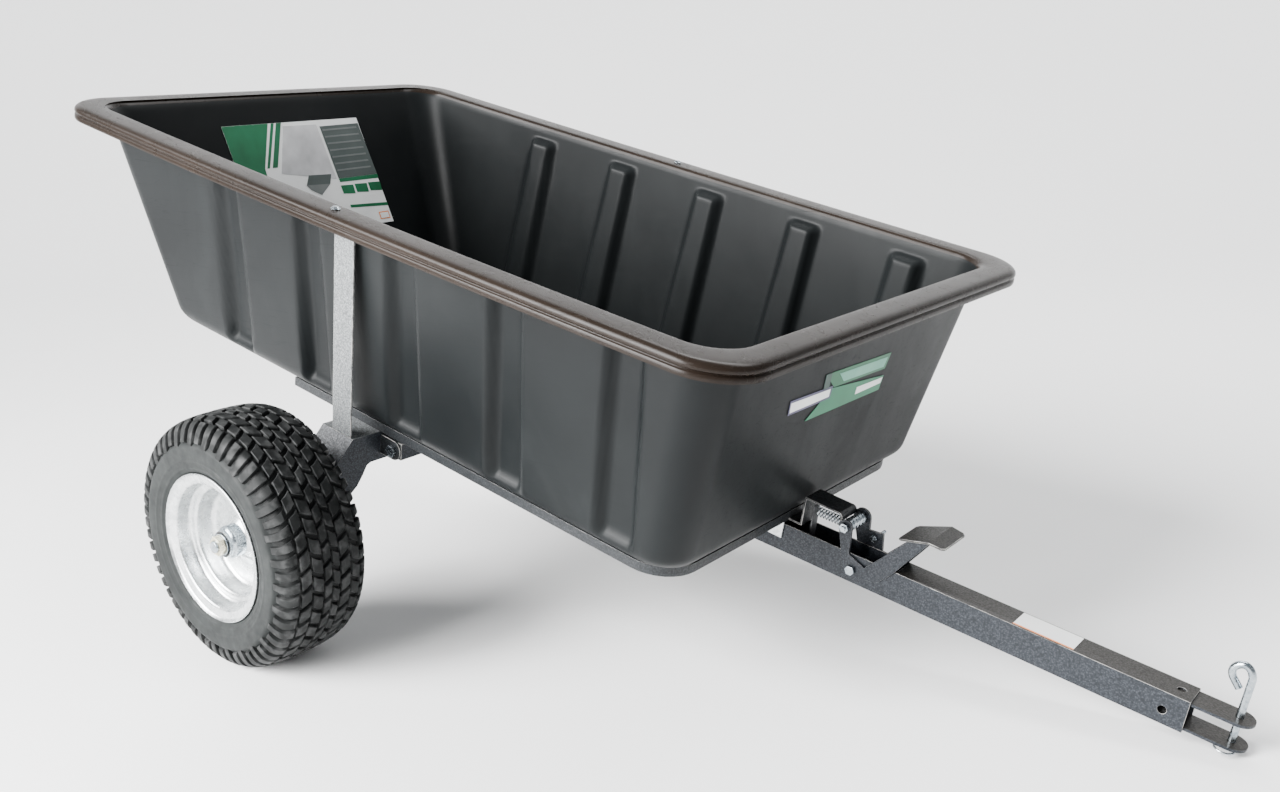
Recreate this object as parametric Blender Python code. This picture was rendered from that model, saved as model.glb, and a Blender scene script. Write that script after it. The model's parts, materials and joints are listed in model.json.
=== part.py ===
"""Tow-behind dump cart with a plastic tub, parked on its tongue.

Two level frames carry the parts.  The bed frame has its origin on the axle line, +X towards the hitch,
+Y to the cart's left and +Z square to the tub rim.  The tongue frame has its origin on the dump hinge
and runs along the drawbar.  Both are tilted nose-down so the tyres and the hitch pin stand on z = 0.
"""
import math

import bmesh
import bpy
from mathutils import Matrix, Vector
from mathutils.geometry import tessellate_polygon

# ---------------------------------------------------------------- driving dimensions (metres)
GAP = 0.0003                       # running clearance between touching parts

TYRE_R = 0.203                     # 16 x 6.50-8 turf tyre
TYRE_HALF_W = 0.0785
RIM_FLANGE_R = 0.1165
RIM_HALF_W = 0.074
TRACK_HALF = 0.552                 # wheel centre plane from the cart's centre plane
WHEEL_SEGS = 32

HINGE_X, HINGE_Z = 0.070, 0.113    # dump hinge in the bed frame
TONGUE_RISE = 0.0318               # drawbar rises this much (radians) relative to the rim

RIM_Z = 0.5185                     # top of the tub lip
FLOOR_Z = 0.152                    # underside of the tub floor
WALL_T = 0.004
LIP_SIDE, LIP_FRONT, LIP_REAR = 0.446, 0.755, -0.754
LIP_DROP = 0.025
SIDE_TOP, SIDE_DRAFT = 0.392, 0.119          # outer half width at WALL_REF_Z, and its loss per metre down
FRONT_TOP, FRONT_DRAFT = 0.703, 0.140
REAR_TOP, REAR_DRAFT = -0.704, 0.500
WALL_REF_Z = 0.490
SIDE_BOW, LIP_SAG = 0.0055, 0.004            # the long sides bow out and sag a little at mid length
RIB_X = (-0.318, -0.100, 0.1205, 0.3395, 0.5555)
RIB_OUTER, RIB_INNER, RIB_DEPTH = 0.036, 0.017, 0.018
RIB_TOP_Z = 0.490

RAIL_Y, RAIL_FRONT_X, RAIL_REAR_X = 0.335, 0.643, -0.188
RAIL_TOP_Z, RAIL_H, RAIL_T, RAIL_FLANGE, RAIL_R = 0.1515, 0.0155, 0.003, 0.030, 0.065

BEAM_HALF_X, BEAM_T, BEAM_TOP_Z = 0.038, 0.0035, 0.1355
BEAM_END_Y = 0.452
STRAP_X, STRAP_W, STRAP_T, TAB_Z = 0.010, 0.046, 0.0035, 0.507

SPINDLE_R = 0.0095
HUB_R, HUB_IN, HUB_OUT = 0.026, 0.500, 0.604  # hub length between these distances from the centre plane

CROSS_HALF, CROSS_END_Y, CROSS_T = 0.015, 0.3283, 0.0025
EAR_IN, EAR_OUT, EAR_R = 0.3287, 0.3327, 0.017
PIVOT_BOLT_R = 0.006

BAR_W, BAR_TOP, BAR_BOT, BAR_T = 0.047, -0.003, -0.050, 0.0025
BAR_REAR, BAR_FRONT = 0.0158, 1.198
SLOT_REAR, SLOT_FRONT = 0.560, 0.767          # open-topped part of the drawbar
SIDE_HOLE_X, TOP_HOLE_X, BAR_HOLE_R = 1.1675, 1.180, 0.006

PIN_X, PIN_R, PIN_BOTTOM = 1.2538, 0.005, -0.058
EAR_W, EAR_T = 0.041, 0.004
CLIP_Z, CLIP_R, CLIP_RING_R = -0.0494, 0.0016, 0.0125
CLIP_DIR = math.radians(200)

LEVER_X, LEVER_Z = 0.6970, -0.0270            # latch lever pivot in the tongue frame
LEVER_BOLT_R = 0.004
PLATE_IN, PLATE_T = 0.0240, 0.004
ROLLER_R, ROLLER_PIN_R = 0.010, 0.004
CATCH_FRONT, CATCH_TOP, CATCH_HALF = 0.7325, 0.187, 0.0225

SHIFT_X = -0.3595                             # puts the origin under the middle of the bounding box

# ---------------------------------------------------------------- tilt of the two frames
foot_x = HINGE_X + (PIN_X + PIN_R) * math.cos(TONGUE_RISE) - PIN_BOTTOM * math.sin(TONGUE_RISE)
foot_z = HINGE_Z + (PIN_X + PIN_R) * math.sin(TONGUE_RISE) + PIN_BOTTOM * math.cos(TONGUE_RISE)
BED_TILT = math.atan2(foot_z, foot_x) + math.asin(TYRE_R / math.hypot(foot_x, foot_z))
TONGUE_TILT = BED_TILT - TONGUE_RISE

COLOURS = {
    "poly": ((0.020, 0.021, 0.022), 0.0, 0.28),
    "hammertone": ((0.10, 0.105, 0.105), 0.5, 0.5),
    "dark_steel": ((0.05, 0.052, 0.055), 0.4, 0.5),
    "zinc": ((0.62, 0.64, 0.66), 1.0, 0.32),
    "galvanised": ((0.70, 0.72, 0.73), 1.0, 0.38),
    "tyre": ((0.035, 0.036, 0.036), 0.0, 0.8),
    "rubber": ((0.02, 0.02, 0.02), 0.0, 0.7),
    "spring_steel": ((0.66, 0.68, 0.70), 1.0, 0.28),
}


def clear_scene():
    for obj in list(bpy.data.objects):
        bpy.data.objects.remove(obj, do_unlink=True)


def material(name):
    mat = bpy.data.materials.get(name) or bpy.data.materials.new(name)
    colour, metallic, rough = COLOURS[name]
    mat.use_nodes = True
    shader = mat.node_tree.nodes["Principled BSDF"]
    shader.inputs["Base Color"].default_value = (*colour, 1.0)
    shader.inputs["Metallic"].default_value = metallic
    shader.inputs["Roughness"].default_value = rough
    return mat


def empty(name, parent, loc, pitch=0.0):
    obj = bpy.data.objects.new(name, None)
    bpy.context.scene.collection.objects.link(obj)
    obj.parent = parent
    obj.location = loc
    obj.rotation_euler = (0.0, pitch, 0.0)
    return obj


def shade(mesh):
    """Smooth shading on the curved faces, with a crisp edge wherever two faces turn sharply."""
    mesh.shade_smooth()
    mesh.set_sharp_from_angle(angle=math.radians(32))
    mesh.update()


def mesh_object(name, verts, faces, parent, mat, offset=(0, 0, 0)):
    mesh = bpy.data.meshes.new(name)
    off = Vector(offset)
    mesh.from_pydata([Vector(v) - off for v in verts], [], faces)
    bm = bmesh.new()
    bm.from_mesh(mesh)
    bmesh.ops.recalc_face_normals(bm, faces=bm.faces[:])
    bm.to_mesh(mesh)
    bm.free()
    shade(mesh)
    obj = bpy.data.objects.new(name, mesh)
    bpy.context.scene.collection.objects.link(obj)
    obj.parent = parent
    if mat:
        mesh.materials.append(material(mat))
    return obj


# ---------------------------------------------------------------- shape helpers
def axis_point(axis, u, v, w):
    """A point with w along the axis and (u, v) across it: X -> (y, z), Y -> (x, z), Z -> (x, y)."""
    return {"X": (w, u, v), "Y": (u, w, v), "Z": (u, v, w)}[axis]


def prism(axis, outline, w0, w1, holes=()):
    """Vertices and faces of a plate: a 2-D outline with holes, pushed from w0 to w1 along the axis."""
    loops = [list(outline)] + [list(h) for h in holes]
    flat = [p for loop in loops for p in loop]
    tris = tessellate_polygon([[Vector((p[0], p[1], 0)) for p in loop] for loop in loops])
    n = len(flat)
    verts = [axis_point(axis, p[0], p[1], w) for w in (w0, w1) for p in flat]
    faces = [tuple(t) for t in tris] + [tuple(i + n for i in reversed(t)) for t in tris]
    start = 0
    for loop in loops:
        m = len(loop)
        for i in range(m):
            a, b = start + i, start + (i + 1) % m
            faces.append((a, b, b + n, a + n))
        start += m
    return verts, faces


def circle(cu, cv, r, n=20, phase=0.0):
    return [(cu + r * math.cos(phase + 2 * math.pi * i / n), cv + r * math.sin(phase + 2 * math.pi * i / n))
            for i in range(n)]


def arc(cu, cv, r, a0, a1, n):
    return [(cu + r * math.cos(math.radians(a0 + (a1 - a0) * i / n)),
             cv + r * math.sin(math.radians(a0 + (a1 - a0) * i / n))) for i in range(n + 1)]


def rect(u0, u1, v0, v1):
    return [(u0, v0), (u1, v0), (u1, v1), (u0, v1)]


def box(x0, x1, y0, y1, z0, z1):
    return prism("Z", rect(x0, x1, y0, y1), z0, z1)


def lathe(axis, profile, segs, cu=0.0, cv=0.0, sides=None, phase=0.0):
    """Turn a closed profile of (along, radius) points; points of zero radius close on the axis.

    sides gives, for a profile index, the number of flats of a hexagon section instead of a circle."""
    rings, verts = [], []
    for i, (w, r) in enumerate(profile):
        if r <= 1e-9:
            rings.append([len(verts)])
            verts.append(axis_point(axis, cu, cv, w))
            continue
        ring = []
        for k in range(segs):
            a = 2 * math.pi * k / segs
            rr = r
            if sides and i in sides:
                half = math.pi / sides[i]
                rr = r * math.cos(half) / math.cos((a % (2 * half)) - half)
            ring.append(len(verts))
            verts.append(axis_point(axis, cu + rr * math.cos(a + phase), cv + rr * math.sin(a + phase), w))
        rings.append(ring)
    faces = []
    count = len(rings)
    for i in range(count):
        a, b = rings[i], rings[(i + 1) % count]
        if len(a) == 1 and len(b) == 1:
            continue
        for k in range(segs):
            j = (k + 1) % segs
            if len(a) == 1:
                faces.append((a[0], b[j], b[k]))
            elif len(b) == 1:
                faces.append((a[k], a[j], b[0]))
            else:
                faces.append((a[k], a[j], b[j], b[k]))
    return verts, faces


def sweep(path, section, closed=False, up=Vector((0, 1, 0))):
    """Carry a closed 2-D section along a 3-D path, with one fixed up direction."""
    pts = [Vector(p) for p in path]
    n, m = len(pts), len(section)
    verts = []
    for i, p in enumerate(pts):
        prev = pts[i - 1] if (i or closed) else None
        nxt = pts[(i + 1) % n] if (i < n - 1 or closed) else None
        d0 = (p - prev).normalized() if prev is not None else None
        d1 = (nxt - p).normalized() if nxt is not None else None
        tangent = ((d0 or d1) + (d1 or d0)).normalized()
        scale = 1.0 / max(0.5, tangent.dot(d1 or d0))
        side = tangent.cross(up).normalized()
        vert = side.cross(tangent).normalized()
        for u, v in section:
            verts.append(p + side * u * scale + vert * v)
    faces = []
    for i in range(n if closed else n - 1):
        a, b = i * m, ((i + 1) % n) * m
        for k in range(m):
            j = (k + 1) % m
            faces.append((a + k, a + j, b + j, b + k))
    if not closed:
        faces.append(tuple(range(m))[::-1])
        faces.append(tuple((n - 1) * m + k for k in range(m)))
    return verts, faces


def cut(target, name, shape, parent, offset=(0, 0, 0)):
    """Take a shape out of the target with an exact boolean."""
    tool = mesh_object(name, *shape, parent, None, offset)
    tool.hide_render = True
    tool.display_type = "WIRE"
    mod = target.modifiers.new(name, "BOOLEAN")
    mod.operation = "DIFFERENCE"
    mod.solver = "EXACT"
    mod.object = tool
    return tool


def bolt_profile(head_at, grip_end, shank_r, head_r, head_h, nut_r=0.0, nut_h=0.0, tail=0.0):
    """Profile of a bolt along its axis from the head face; direction is set by the sign of grip_end."""
    s = 1 if grip_end > head_at else -1
    pts = [(head_at - s * head_h, 0.0), (head_at - s * head_h, head_r), (head_at, head_r), (head_at, shank_r)]
    flats = {1: 6, 2: 6}
    if nut_r:
        pts += [(grip_end, shank_r), (grip_end, nut_r), (grip_end + s * nut_h, nut_r),
                (grip_end + s * nut_h, shank_r)]
        flats.update({5: 6, 6: 6})
        grip_end += s * nut_h
    pts += [(grip_end + s * tail, shank_r * 0.98), (grip_end + s * tail, 0.0)]
    return pts, flats


# ---------------------------------------------------------------- the tub
def tub_limits(z):
    d = WALL_REF_Z - z
    return SIDE_TOP - SIDE_DRAFT * d, FRONT_TOP - FRONT_DRAFT * d, REAR_TOP + REAR_DRAFT * d


def tub_ring(z, half, front, rear, radius, rib, bow=0.0, sag=0.0):
    """One level of the tub: a rounded rectangle with rib points on both long sides."""
    mid, reach = (front + rear) / 2, (front - rear) / 2
    right = []
    stop = front - radius - 0.002
    down = min(1.0, max(0.0, (RIB_TOP_Z - z) / 0.32))      # the ribs widen and lean back towards the floor
    wider, lean = 0.0055 * down, -0.004 * down
    for c in RIB_X:
        for dx, d in ((-RIB_OUTER - wider, 0), (-RIB_INNER - wider, rib), (RIB_INNER + wider, rib),
                      (RIB_OUTER + wider, 0)):
            right.append((min(c + lean + dx, stop + (dx - RIB_OUTER) * 0.02), -half + d))
    right = [(rear + radius, -half)] + right + [(front - radius, -half)]
    pts = list(right)
    pts += arc(front - radius, -half + radius, radius, -75, -15, 4)
    pts += [(front, -half + radius), (front, half - radius)]
    pts += arc(front - radius, half - radius, radius, 15, 75, 4)
    pts += [(x, -y) for x, y in reversed(right)]
    pts += arc(rear + radius, half - radius, radius, 105, 165, 4)
    pts += [(rear, half - radius), (rear, -half + radius)]
    pts += arc(rear + radius, -half + radius, radius, 195, 255, 4)
    out = []
    for x, y in pts:
        k = max(0.0, 1 - ((x - mid) / reach) ** 2)
        edge = min(1.0, abs(y) / half)
        out.append((x, y + math.copysign(bow * k * edge, y), z - sag * k * (edge ** 4)))
    return out


def build_tub(parent):
    rings = []

    def wall(z, inset, rib, thick=0.0, bow=None):
        half, front, rear = tub_limits(z)
        share = max(0.0, min(1.0, (z - FLOOR_Z) / (RIM_Z - FLOOR_Z)))
        radius = 0.052 + 0.012 * share
        rings.append(tub_ring(z, half - inset - thick, front - inset - thick,
                              rear + inset + thick * 1.12, radius - inset * 0.3 - thick * 0.5, rib,
                              SIDE_BOW * share if bow is None else bow))

    def lip(z, half, radius=0.085):
        grow = LIP_SIDE - half
        rings.append(tub_ring(z, half, LIP_FRONT - grow, LIP_REAR + grow, radius - grow * 0.4, 0.0,
                              SIDE_BOW, LIP_SAG))

    # outside, from the floor up to the lip
    wall(FLOOR_Z, 0.030, 0.0)
    wall(FLOOR_Z + 0.0035, 0.0170, 0.0)
    wall(FLOOR_Z + 0.0125, 0.0065, 0.006)
    wall(FLOOR_Z + 0.0280, 0.0, RIB_DEPTH)
    wall(RIB_TOP_Z - 0.014, 0.0, RIB_DEPTH)
    wall(RIB_TOP_Z, 0.0, 0.0)
    # lip: underside, turned-down flange, rolled edge, flat top
    half, front, rear = tub_limits(0.5055)
    rings.append(tub_ring(RIM_Z - 0.0050, half + 0.003, front + 0.003, rear - 0.003, 0.067, 0.0,
                          SIDE_BOW, LIP_SAG))
    lip(RIM_Z - 0.0050, LIP_SIDE - 0.0055)
    lip(RIM_Z - LIP_DROP, LIP_SIDE - 0.0055)
    lip(RIM_Z - LIP_DROP, LIP_SIDE - 0.0015)
    lip(RIM_Z - LIP_DROP + 0.006, LIP_SIDE)
    lip(RIM_Z - 0.0060, LIP_SIDE)
    lip(RIM_Z - 0.0018, LIP_SIDE - 0.0020)
    lip(RIM_Z, LIP_SIDE - 0.0062)
    half, front, rear = tub_limits(RIM_Z)
    rings.append(tub_ring(RIM_Z, half - 0.0005, front - 0.0005, rear + 0.0025, 0.064, 0.0,
                          SIDE_BOW, LIP_SAG))
    # inside, back down to the floor
    wall(RIM_Z - 0.008, 0.0, 0.0, WALL_T)
    wall(RIB_TOP_Z + 0.001, 0.0, 0.0, WALL_T)
    wall(RIB_TOP_Z - 0.0155, 0.0, RIB_DEPTH, WALL_T)
    wall(FLOOR_Z + 0.0290, 0.0, RIB_DEPTH, WALL_T)
    wall(FLOOR_Z + 0.0165, 0.0065, 0.006, WALL_T)
    wall(FLOOR_Z + 0.0075, 0.0170, 0.0, WALL_T)
    wall(FLOOR_Z + WALL_T, 0.030, 0.0, WALL_T)

    n = len(rings[0])
    verts = [p for ring in rings for p in ring]
    faces = []
    for i in range(len(rings) - 1):
        for k in range(n):
            j = (k + 1) % n
            faces.append((i * n + k, i * n + j, (i + 1) * n + j, (i + 1) * n + k))
    faces.append(tuple(range(n)))
    last = (len(rings) - 1) * n
    faces.append(tuple(last + k for k in range(n)))
    return mesh_object("tub", verts, faces, parent, "poly", BED_OFF)


BED_OFF = (HINGE_X, 0.0, HINGE_Z)
FLOOR_BOLTS = (("floor_bolt_1", -0.155, -0.3120), ("floor_bolt_2", -0.155, 0.3120),
               ("floor_bolt_3", 0.520, -0.3120), ("floor_bolt_4", 0.520, 0.3120))
STRAP_BOLT_Y = 0.4225


def build_bed(bed, side_names):
    tub = build_tub(bed)

    # strap bolts hold the lip to the straps; floor bolts hold the floor to the rail
    lip_z = RIM_Z - LIP_SAG
    for name, sign in side_names:
        y = sign * STRAP_BOLT_Y
        cut(tub, "cut_lip_" + name, lathe("Z", [(lip_z - 0.03, 0), (lip_z - 0.03, 0.0043),
                                                (lip_z + 0.03, 0.0043), (lip_z + 0.03, 0)], 16, STRAP_X, y),
            bed, BED_OFF)
        top = lip_z + 0.0012
        nut = TAB_Z - STRAP_T / 2 - GAP
        prof = [(top + 0.0040, 0), (top + 0.0034, 0.0045), (top, 0.0080), (top, 0.0038), (nut, 0.0038),
                (nut, 0.0075), (nut - 0.0060, 0.0075), (nut - 0.0060, 0.0038), (nut - 0.0090, 0.0036),
                (nut - 0.0090, 0)]
        mesh_object("strap_bolt_" + name, *lathe("Z", prof, 12, STRAP_X, y, {5: 6, 6: 6}), bed, "zinc", BED_OFF)
    for name, x, y in FLOOR_BOLTS:
        cut(tub, "cut_" + name, lathe("Z", [(0.12, 0), (0.12, 0.0036), (0.18, 0.0036), (0.18, 0)], 16, x, y),
            bed, BED_OFF)
        top = FLOOR_Z + 0.0009 + WALL_T + GAP
        low = RAIL_TOP_Z - RAIL_T - GAP
        prof = [(top + 0.0030, 0), (top + 0.0024, 0.0040), (top, 0.0066), (top, 0.0031), (low, 0.0031),
                (low, 0.0062), (low - 0.0050, 0.0062), (low - 0.0050, 0.0031), (low - 0.008, 0.003), (low - 0.008, 0)]
        mesh_object(name, *lathe("Z", prof, 12, x, y, {5: 6, 6: 6}), bed, "zinc", BED_OFF)

    # angle rail bent round the front of the floor
    half, front = RAIL_Y, RAIL_FRONT_X
    path = [(RAIL_REAR_X, -half)] + arc(front - RAIL_R, -half + RAIL_R, RAIL_R, -90, 0, 8)
    path += arc(front - RAIL_R, half - RAIL_R, RAIL_R, 0, 90, 8) + [(RAIL_REAR_X, half)]
    low = RAIL_TOP_Z - RAIL_H
    section = [(0, low), (0, RAIL_TOP_Z), (-RAIL_FLANGE, RAIL_TOP_Z), (-RAIL_FLANGE, RAIL_TOP_Z - RAIL_T),
               (-RAIL_T, RAIL_TOP_Z - RAIL_T), (-RAIL_T, low)]
    verts, faces = sweep([(x, y, 0) for x, y in path], section, up=Vector((0, 0, 1)))
    rail = mesh_object("bed_rail", verts, faces, bed, "hammertone", BED_OFF)
    for name, x, y in FLOOR_BOLTS:
        cut(rail, "cut_rail_" + name, lathe("Z", [(0.12, 0), (0.12, 0.0034), (0.18, 0.0034), (0.18, 0)], 16, x, y),
            bed, BED_OFF)

    # axle beam: an inverted channel whose ends drop to the spindles
    drop = [(0.350, 0.0835), (0.358, 0.0800), (0.365, 0.0650), (0.376, 0.0470), (0.394, 0.0310),
            (0.413, 0.0120), (0.432, -0.0050), (BEAM_END_Y, -0.0140)]
    top = [(BEAM_END_Y, 0.0580), (0.391, BEAM_TOP_Z)]
    outline = drop + top
    outline = outline + [(-y, z) for y, z in reversed(outline)]
    beam = mesh_object("axle_beam", *prism("X", outline, -BEAM_HALF_X, BEAM_HALF_X), bed, "hammertone", BED_OFF)
    t = BEAM_T
    hollow = [(BEAM_END_Y - t, -0.05), (BEAM_END_Y - t, 0.0575), (0.391 - 0.0015, BEAM_TOP_Z - t)]
    hollow = hollow + [(-y, z) for y, z in reversed(hollow)]
    cut(beam, "cut_beam", prism("X", hollow, -BEAM_HALF_X + t, BEAM_HALF_X - t), bed, BED_OFF)
    spindle_bore = lathe("Y", [(-0.5, 0), (-0.5, SPINDLE_R + GAP), (0.5, SPINDLE_R + GAP), (0.5, 0)], 24)
    cut(beam, "cut_beam_bore", spindle_bore, bed, BED_OFF)

    for name, sign in side_names:
        # strap: tab under the lip, then straight down to the beam
        line = [(0.4380, TAB_Z), (0.4045, TAB_Z), (0.3900, BEAM_TOP_Z + GAP)]
        h = STRAP_T / 2
        n = Vector((0.9993, 0.0)) * h
        outer = [(line[0][0], line[0][1] + h), (line[1][0] - h, line[1][1] + h), (line[2][0] - n.x, line[2][1])]
        inner = [(line[2][0] + n.x, line[2][1]), (line[1][0] + h, line[1][1] - h), (line[0][0], line[0][1] - h)]
        outline = [(sign * y, z) for y, z in outer + inner]
        strap = mesh_object("strap_" + name, *prism("X", outline, STRAP_X - STRAP_W / 2, STRAP_X + STRAP_W / 2),
                            bed, "hammertone", BED_OFF)
        cut(strap, "cut_strap_" + name, lathe("Z", [(0.49, 0), (0.49, 0.0041), (0.53, 0.0041), (0.53, 0)], 16,
                                              STRAP_X, sign * STRAP_BOLT_Y), bed, BED_OFF)

        # spindle with its weld block, the spacer, washer and nut
        s = sign
        block = [(0.412, 0), (0.412, 0.0150), (0.4475, 0.0150), (0.4475, SPINDLE_R), (0.6195, SPINDLE_R),
                 (0.6205, SPINDLE_R - 0.001), (0.6205, 0)]
        prof = [(s * w, r) for w, r in block]
        mesh_object("spindle_" + name, *lathe("Y", prof, 24), bed, "zinc", BED_OFF)
        sleeve = [(0.4525, SPINDLE_R + GAP), (0.4525, 0.0155), (HUB_IN - GAP, 0.0155), (HUB_IN - GAP, SPINDLE_R + GAP)]
        mesh_object("wheel_spacer_" + name, *lathe("Y", [(s * w, r) for w, r in sleeve], 24), bed, "zinc", BED_OFF)
        w0 = HUB_OUT + GAP
        washer = [(w0, SPINDLE_R + GAP), (w0, 0.0175), (w0 + 0.0025, 0.0175), (w0 + 0.0025, SPINDLE_R + GAP)]
        mesh_object("axle_washer_" + name, *lathe("Y", [(s * w, r) for w, r in washer], 24), bed, "zinc", BED_OFF)
        n0 = w0 + 0.0025 + GAP
        nut = [(n0, SPINDLE_R + GAP), (n0, 0.0160), (n0 + 0.0095, 0.0160), (n0 + 0.0095, SPINDLE_R + GAP)]
        mesh_object("axle_nut_" + name, *lathe("Y", [(s * w, r) for w, r in nut], 24, sides={1: 6, 2: 6}),
                    bed, "zinc", BED_OFF)

        # ear in front of the beam that carries the dump hinge
        x0 = BEAM_HALF_X + GAP
        ear = [(x0, HINGE_Z - EAR_R)] + arc(HINGE_X, HINGE_Z, EAR_R, -90, 90, 12) + [(x0, HINGE_Z + EAR_R)]
        w = sorted((s * EAR_IN, s * EAR_OUT))
        mesh_object("hinge_ear_" + name, *prism("Y", ear, w[0], w[1],
                                                [circle(HINGE_X, HINGE_Z, PIVOT_BOLT_R + GAP, 20)]),
                    bed, "hammertone", BED_OFF)

    # catch bracket: a bent strip from the rail, up the tub's front; the latch roller stands at its lip
    t, x0, rise = 0.003, RAIL_FRONT_X + GAP, 0.6645
    side = [(x0, 0.1375), (rise + t, 0.1375), (rise + t, CATCH_TOP - t), (CATCH_FRONT - t, CATCH_TOP - t),
            (CATCH_FRONT - t, CATCH_TOP - 0.0125), (CATCH_FRONT, CATCH_TOP - 0.0125)]
    side += arc(CATCH_FRONT - 0.007, CATCH_TOP - 0.007, 0.007, 0, 90, 4)
    side += [(rise, CATCH_TOP), (rise, 0.1375 + t), (x0, 0.1375 + t)]
    mesh_object("catch_bracket", *prism("Y", side, -CATCH_HALF, CATCH_HALF), bed, "hammertone", BED_OFF)

    # guide bracket: a saddle under the rail that straddles the drawbar
    gy, gt = BAR_W / 2 + 0.0008, 0.003
    zt, zb = RAIL_TOP_Z - RAIL_T - GAP, 0.104
    outline = [(-gy - gt, zb), (-gy, zb), (-gy, zt - gt), (gy, zt - gt), (gy, zb), (gy + gt, zb), (gy + gt, zt),
               (-gy - gt, zt)]
    x1 = RAIL_FRONT_X - RAIL_T - GAP
    guide = mesh_object("guide_bracket", *prism("X", outline, x1 - 0.034, x1), bed, "galvanised", BED_OFF)
    gx = x1 - 0.010
    bore = lathe("Z", [(0.10, 0), (0.10, 0.0034), (0.18, 0.0034), (0.18, 0)], 16, gx, 0.0)
    cut(guide, "cut_guide", bore, bed, BED_OFF)
    cut(rail, "cut_rail_guide", bore, bed, BED_OFF)
    low = zt - gt - GAP
    prof = [(RAIL_TOP_Z + 0.0001, 0), (RAIL_TOP_Z + 0.0001, 0.0031), (low, 0.0031), (low, 0.0062),
            (low - 0.0055, 0.0062), (low - 0.0055, 0)]
    mesh_object("guide_bolt", *lathe("Z", prof, 12, gx, 0.0, {3: 6, 4: 6}), bed, "zinc", BED_OFF)


# ---------------------------------------------------------------- wheels
def build_wheel(hub_axis, name, sign):
    """Tyre, rim, hub and valve around the axle; the outer face points away from the cart."""
    def across(profile):
        return [(sign * (TRACK_HALF + w), r) for w, r in profile]

    hw = TYRE_HALF_W
    outer = [(0.0655, 0.1068), (0.0674, 0.1152), (0.0708, 0.1200), (0.0765, 0.1320), (hw, 0.1560),
             (0.0745, 0.1790), (0.0620, 0.1975), (0.0340, 0.2022), (0.0, TYRE_R)]
    inner = [(0.0, 0.1930), (0.0550, 0.1880), (0.0680, 0.1740), (0.0700, 0.1400), (0.0560, 0.1068)]
    profile = outer + [(-w, r) for w, r in reversed(outer[:-1])]
    profile += [(-w, r) for w, r in reversed(inner[1:])] + inner
    mesh_object("tyre_" + name, *lathe("Y", across(profile), WHEEL_SEGS, phase=BED_TILT), hub_axis, "tyre")

    # one-piece dished rim; +w is the outer face
    dish = [(0.0400, 0.0850), (0.0180, 0.0830), (0.0120, 0.0760), (0.0080, 0.0480), (0.0180, 0.0350),
            (0.0260, HUB_R + GAP), (0.0235, HUB_R + GAP), (0.0155, 0.0340), (0.0050, 0.0480), (0.0090, 0.0775),
            (0.0060, 0.0835), (-0.0400, 0.0850)]
    inside = [(0.0750, 0.1192), (0.0705, 0.1135), (0.0670, 0.1015), (0.0480, 0.0990)]
    outside = [(0.0380, 0.0878), (0.0460, 0.1018), (0.0640, 0.1042), (0.0662, 0.1060), (0.0682, 0.1150),
               (0.0716, 0.1192)]
    profile = inside + dish + [(-w, r) for w, r in reversed(inside)]
    profile += [(-w, r) for w, r in reversed(outside)] + outside
    rim = mesh_object("rim_" + name, *lathe("Y", across(profile), WHEEL_SEGS, phase=BED_TILT), hub_axis,
                      "galvanised")

    hub = [(HUB_IN - TRACK_HALF, SPINDLE_R + GAP), (HUB_IN - TRACK_HALF, 0.0200), (-0.0400, 0.0200),
           (-0.0380, HUB_R), (0.0430, HUB_R), (0.0470, 0.0215), (HUB_OUT - TRACK_HALF, 0.0215),
           (HUB_OUT - TRACK_HALF, 0.0170), (0.0480, 0.0170), (0.0480, 0.0140),
           (HUB_OUT - TRACK_HALF, 0.0140), (HUB_OUT - TRACK_HALF, SPINDLE_R + GAP)]
    mesh_object("hub_" + name, *lathe("Y", across(hub), 24), hub_axis, "zinc")

    # valve stem through the dish
    u = 0.0640
    stem = [(0.0, 0), (0.0, 0.0060), (0.0045, 0.0060), (0.0045, 0.0034), (0.0140, 0.0034), (0.0140, 0.0052),
            (0.0360, 0.0042), (0.0380, 0.0030), (0.0380, 0)]
    bore = lathe("Y", across([(-0.02, 0), (-0.02, 0.0038), (0.05, 0.0038), (0.05, 0)]), 12, u, 0.0)
    cut(rim, "cut_valve_" + name, bore, hub_axis)
    mesh_object("valve_" + name, *lathe("Y", across(stem), 12, u, 0.0), hub_axis, "rubber")


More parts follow.
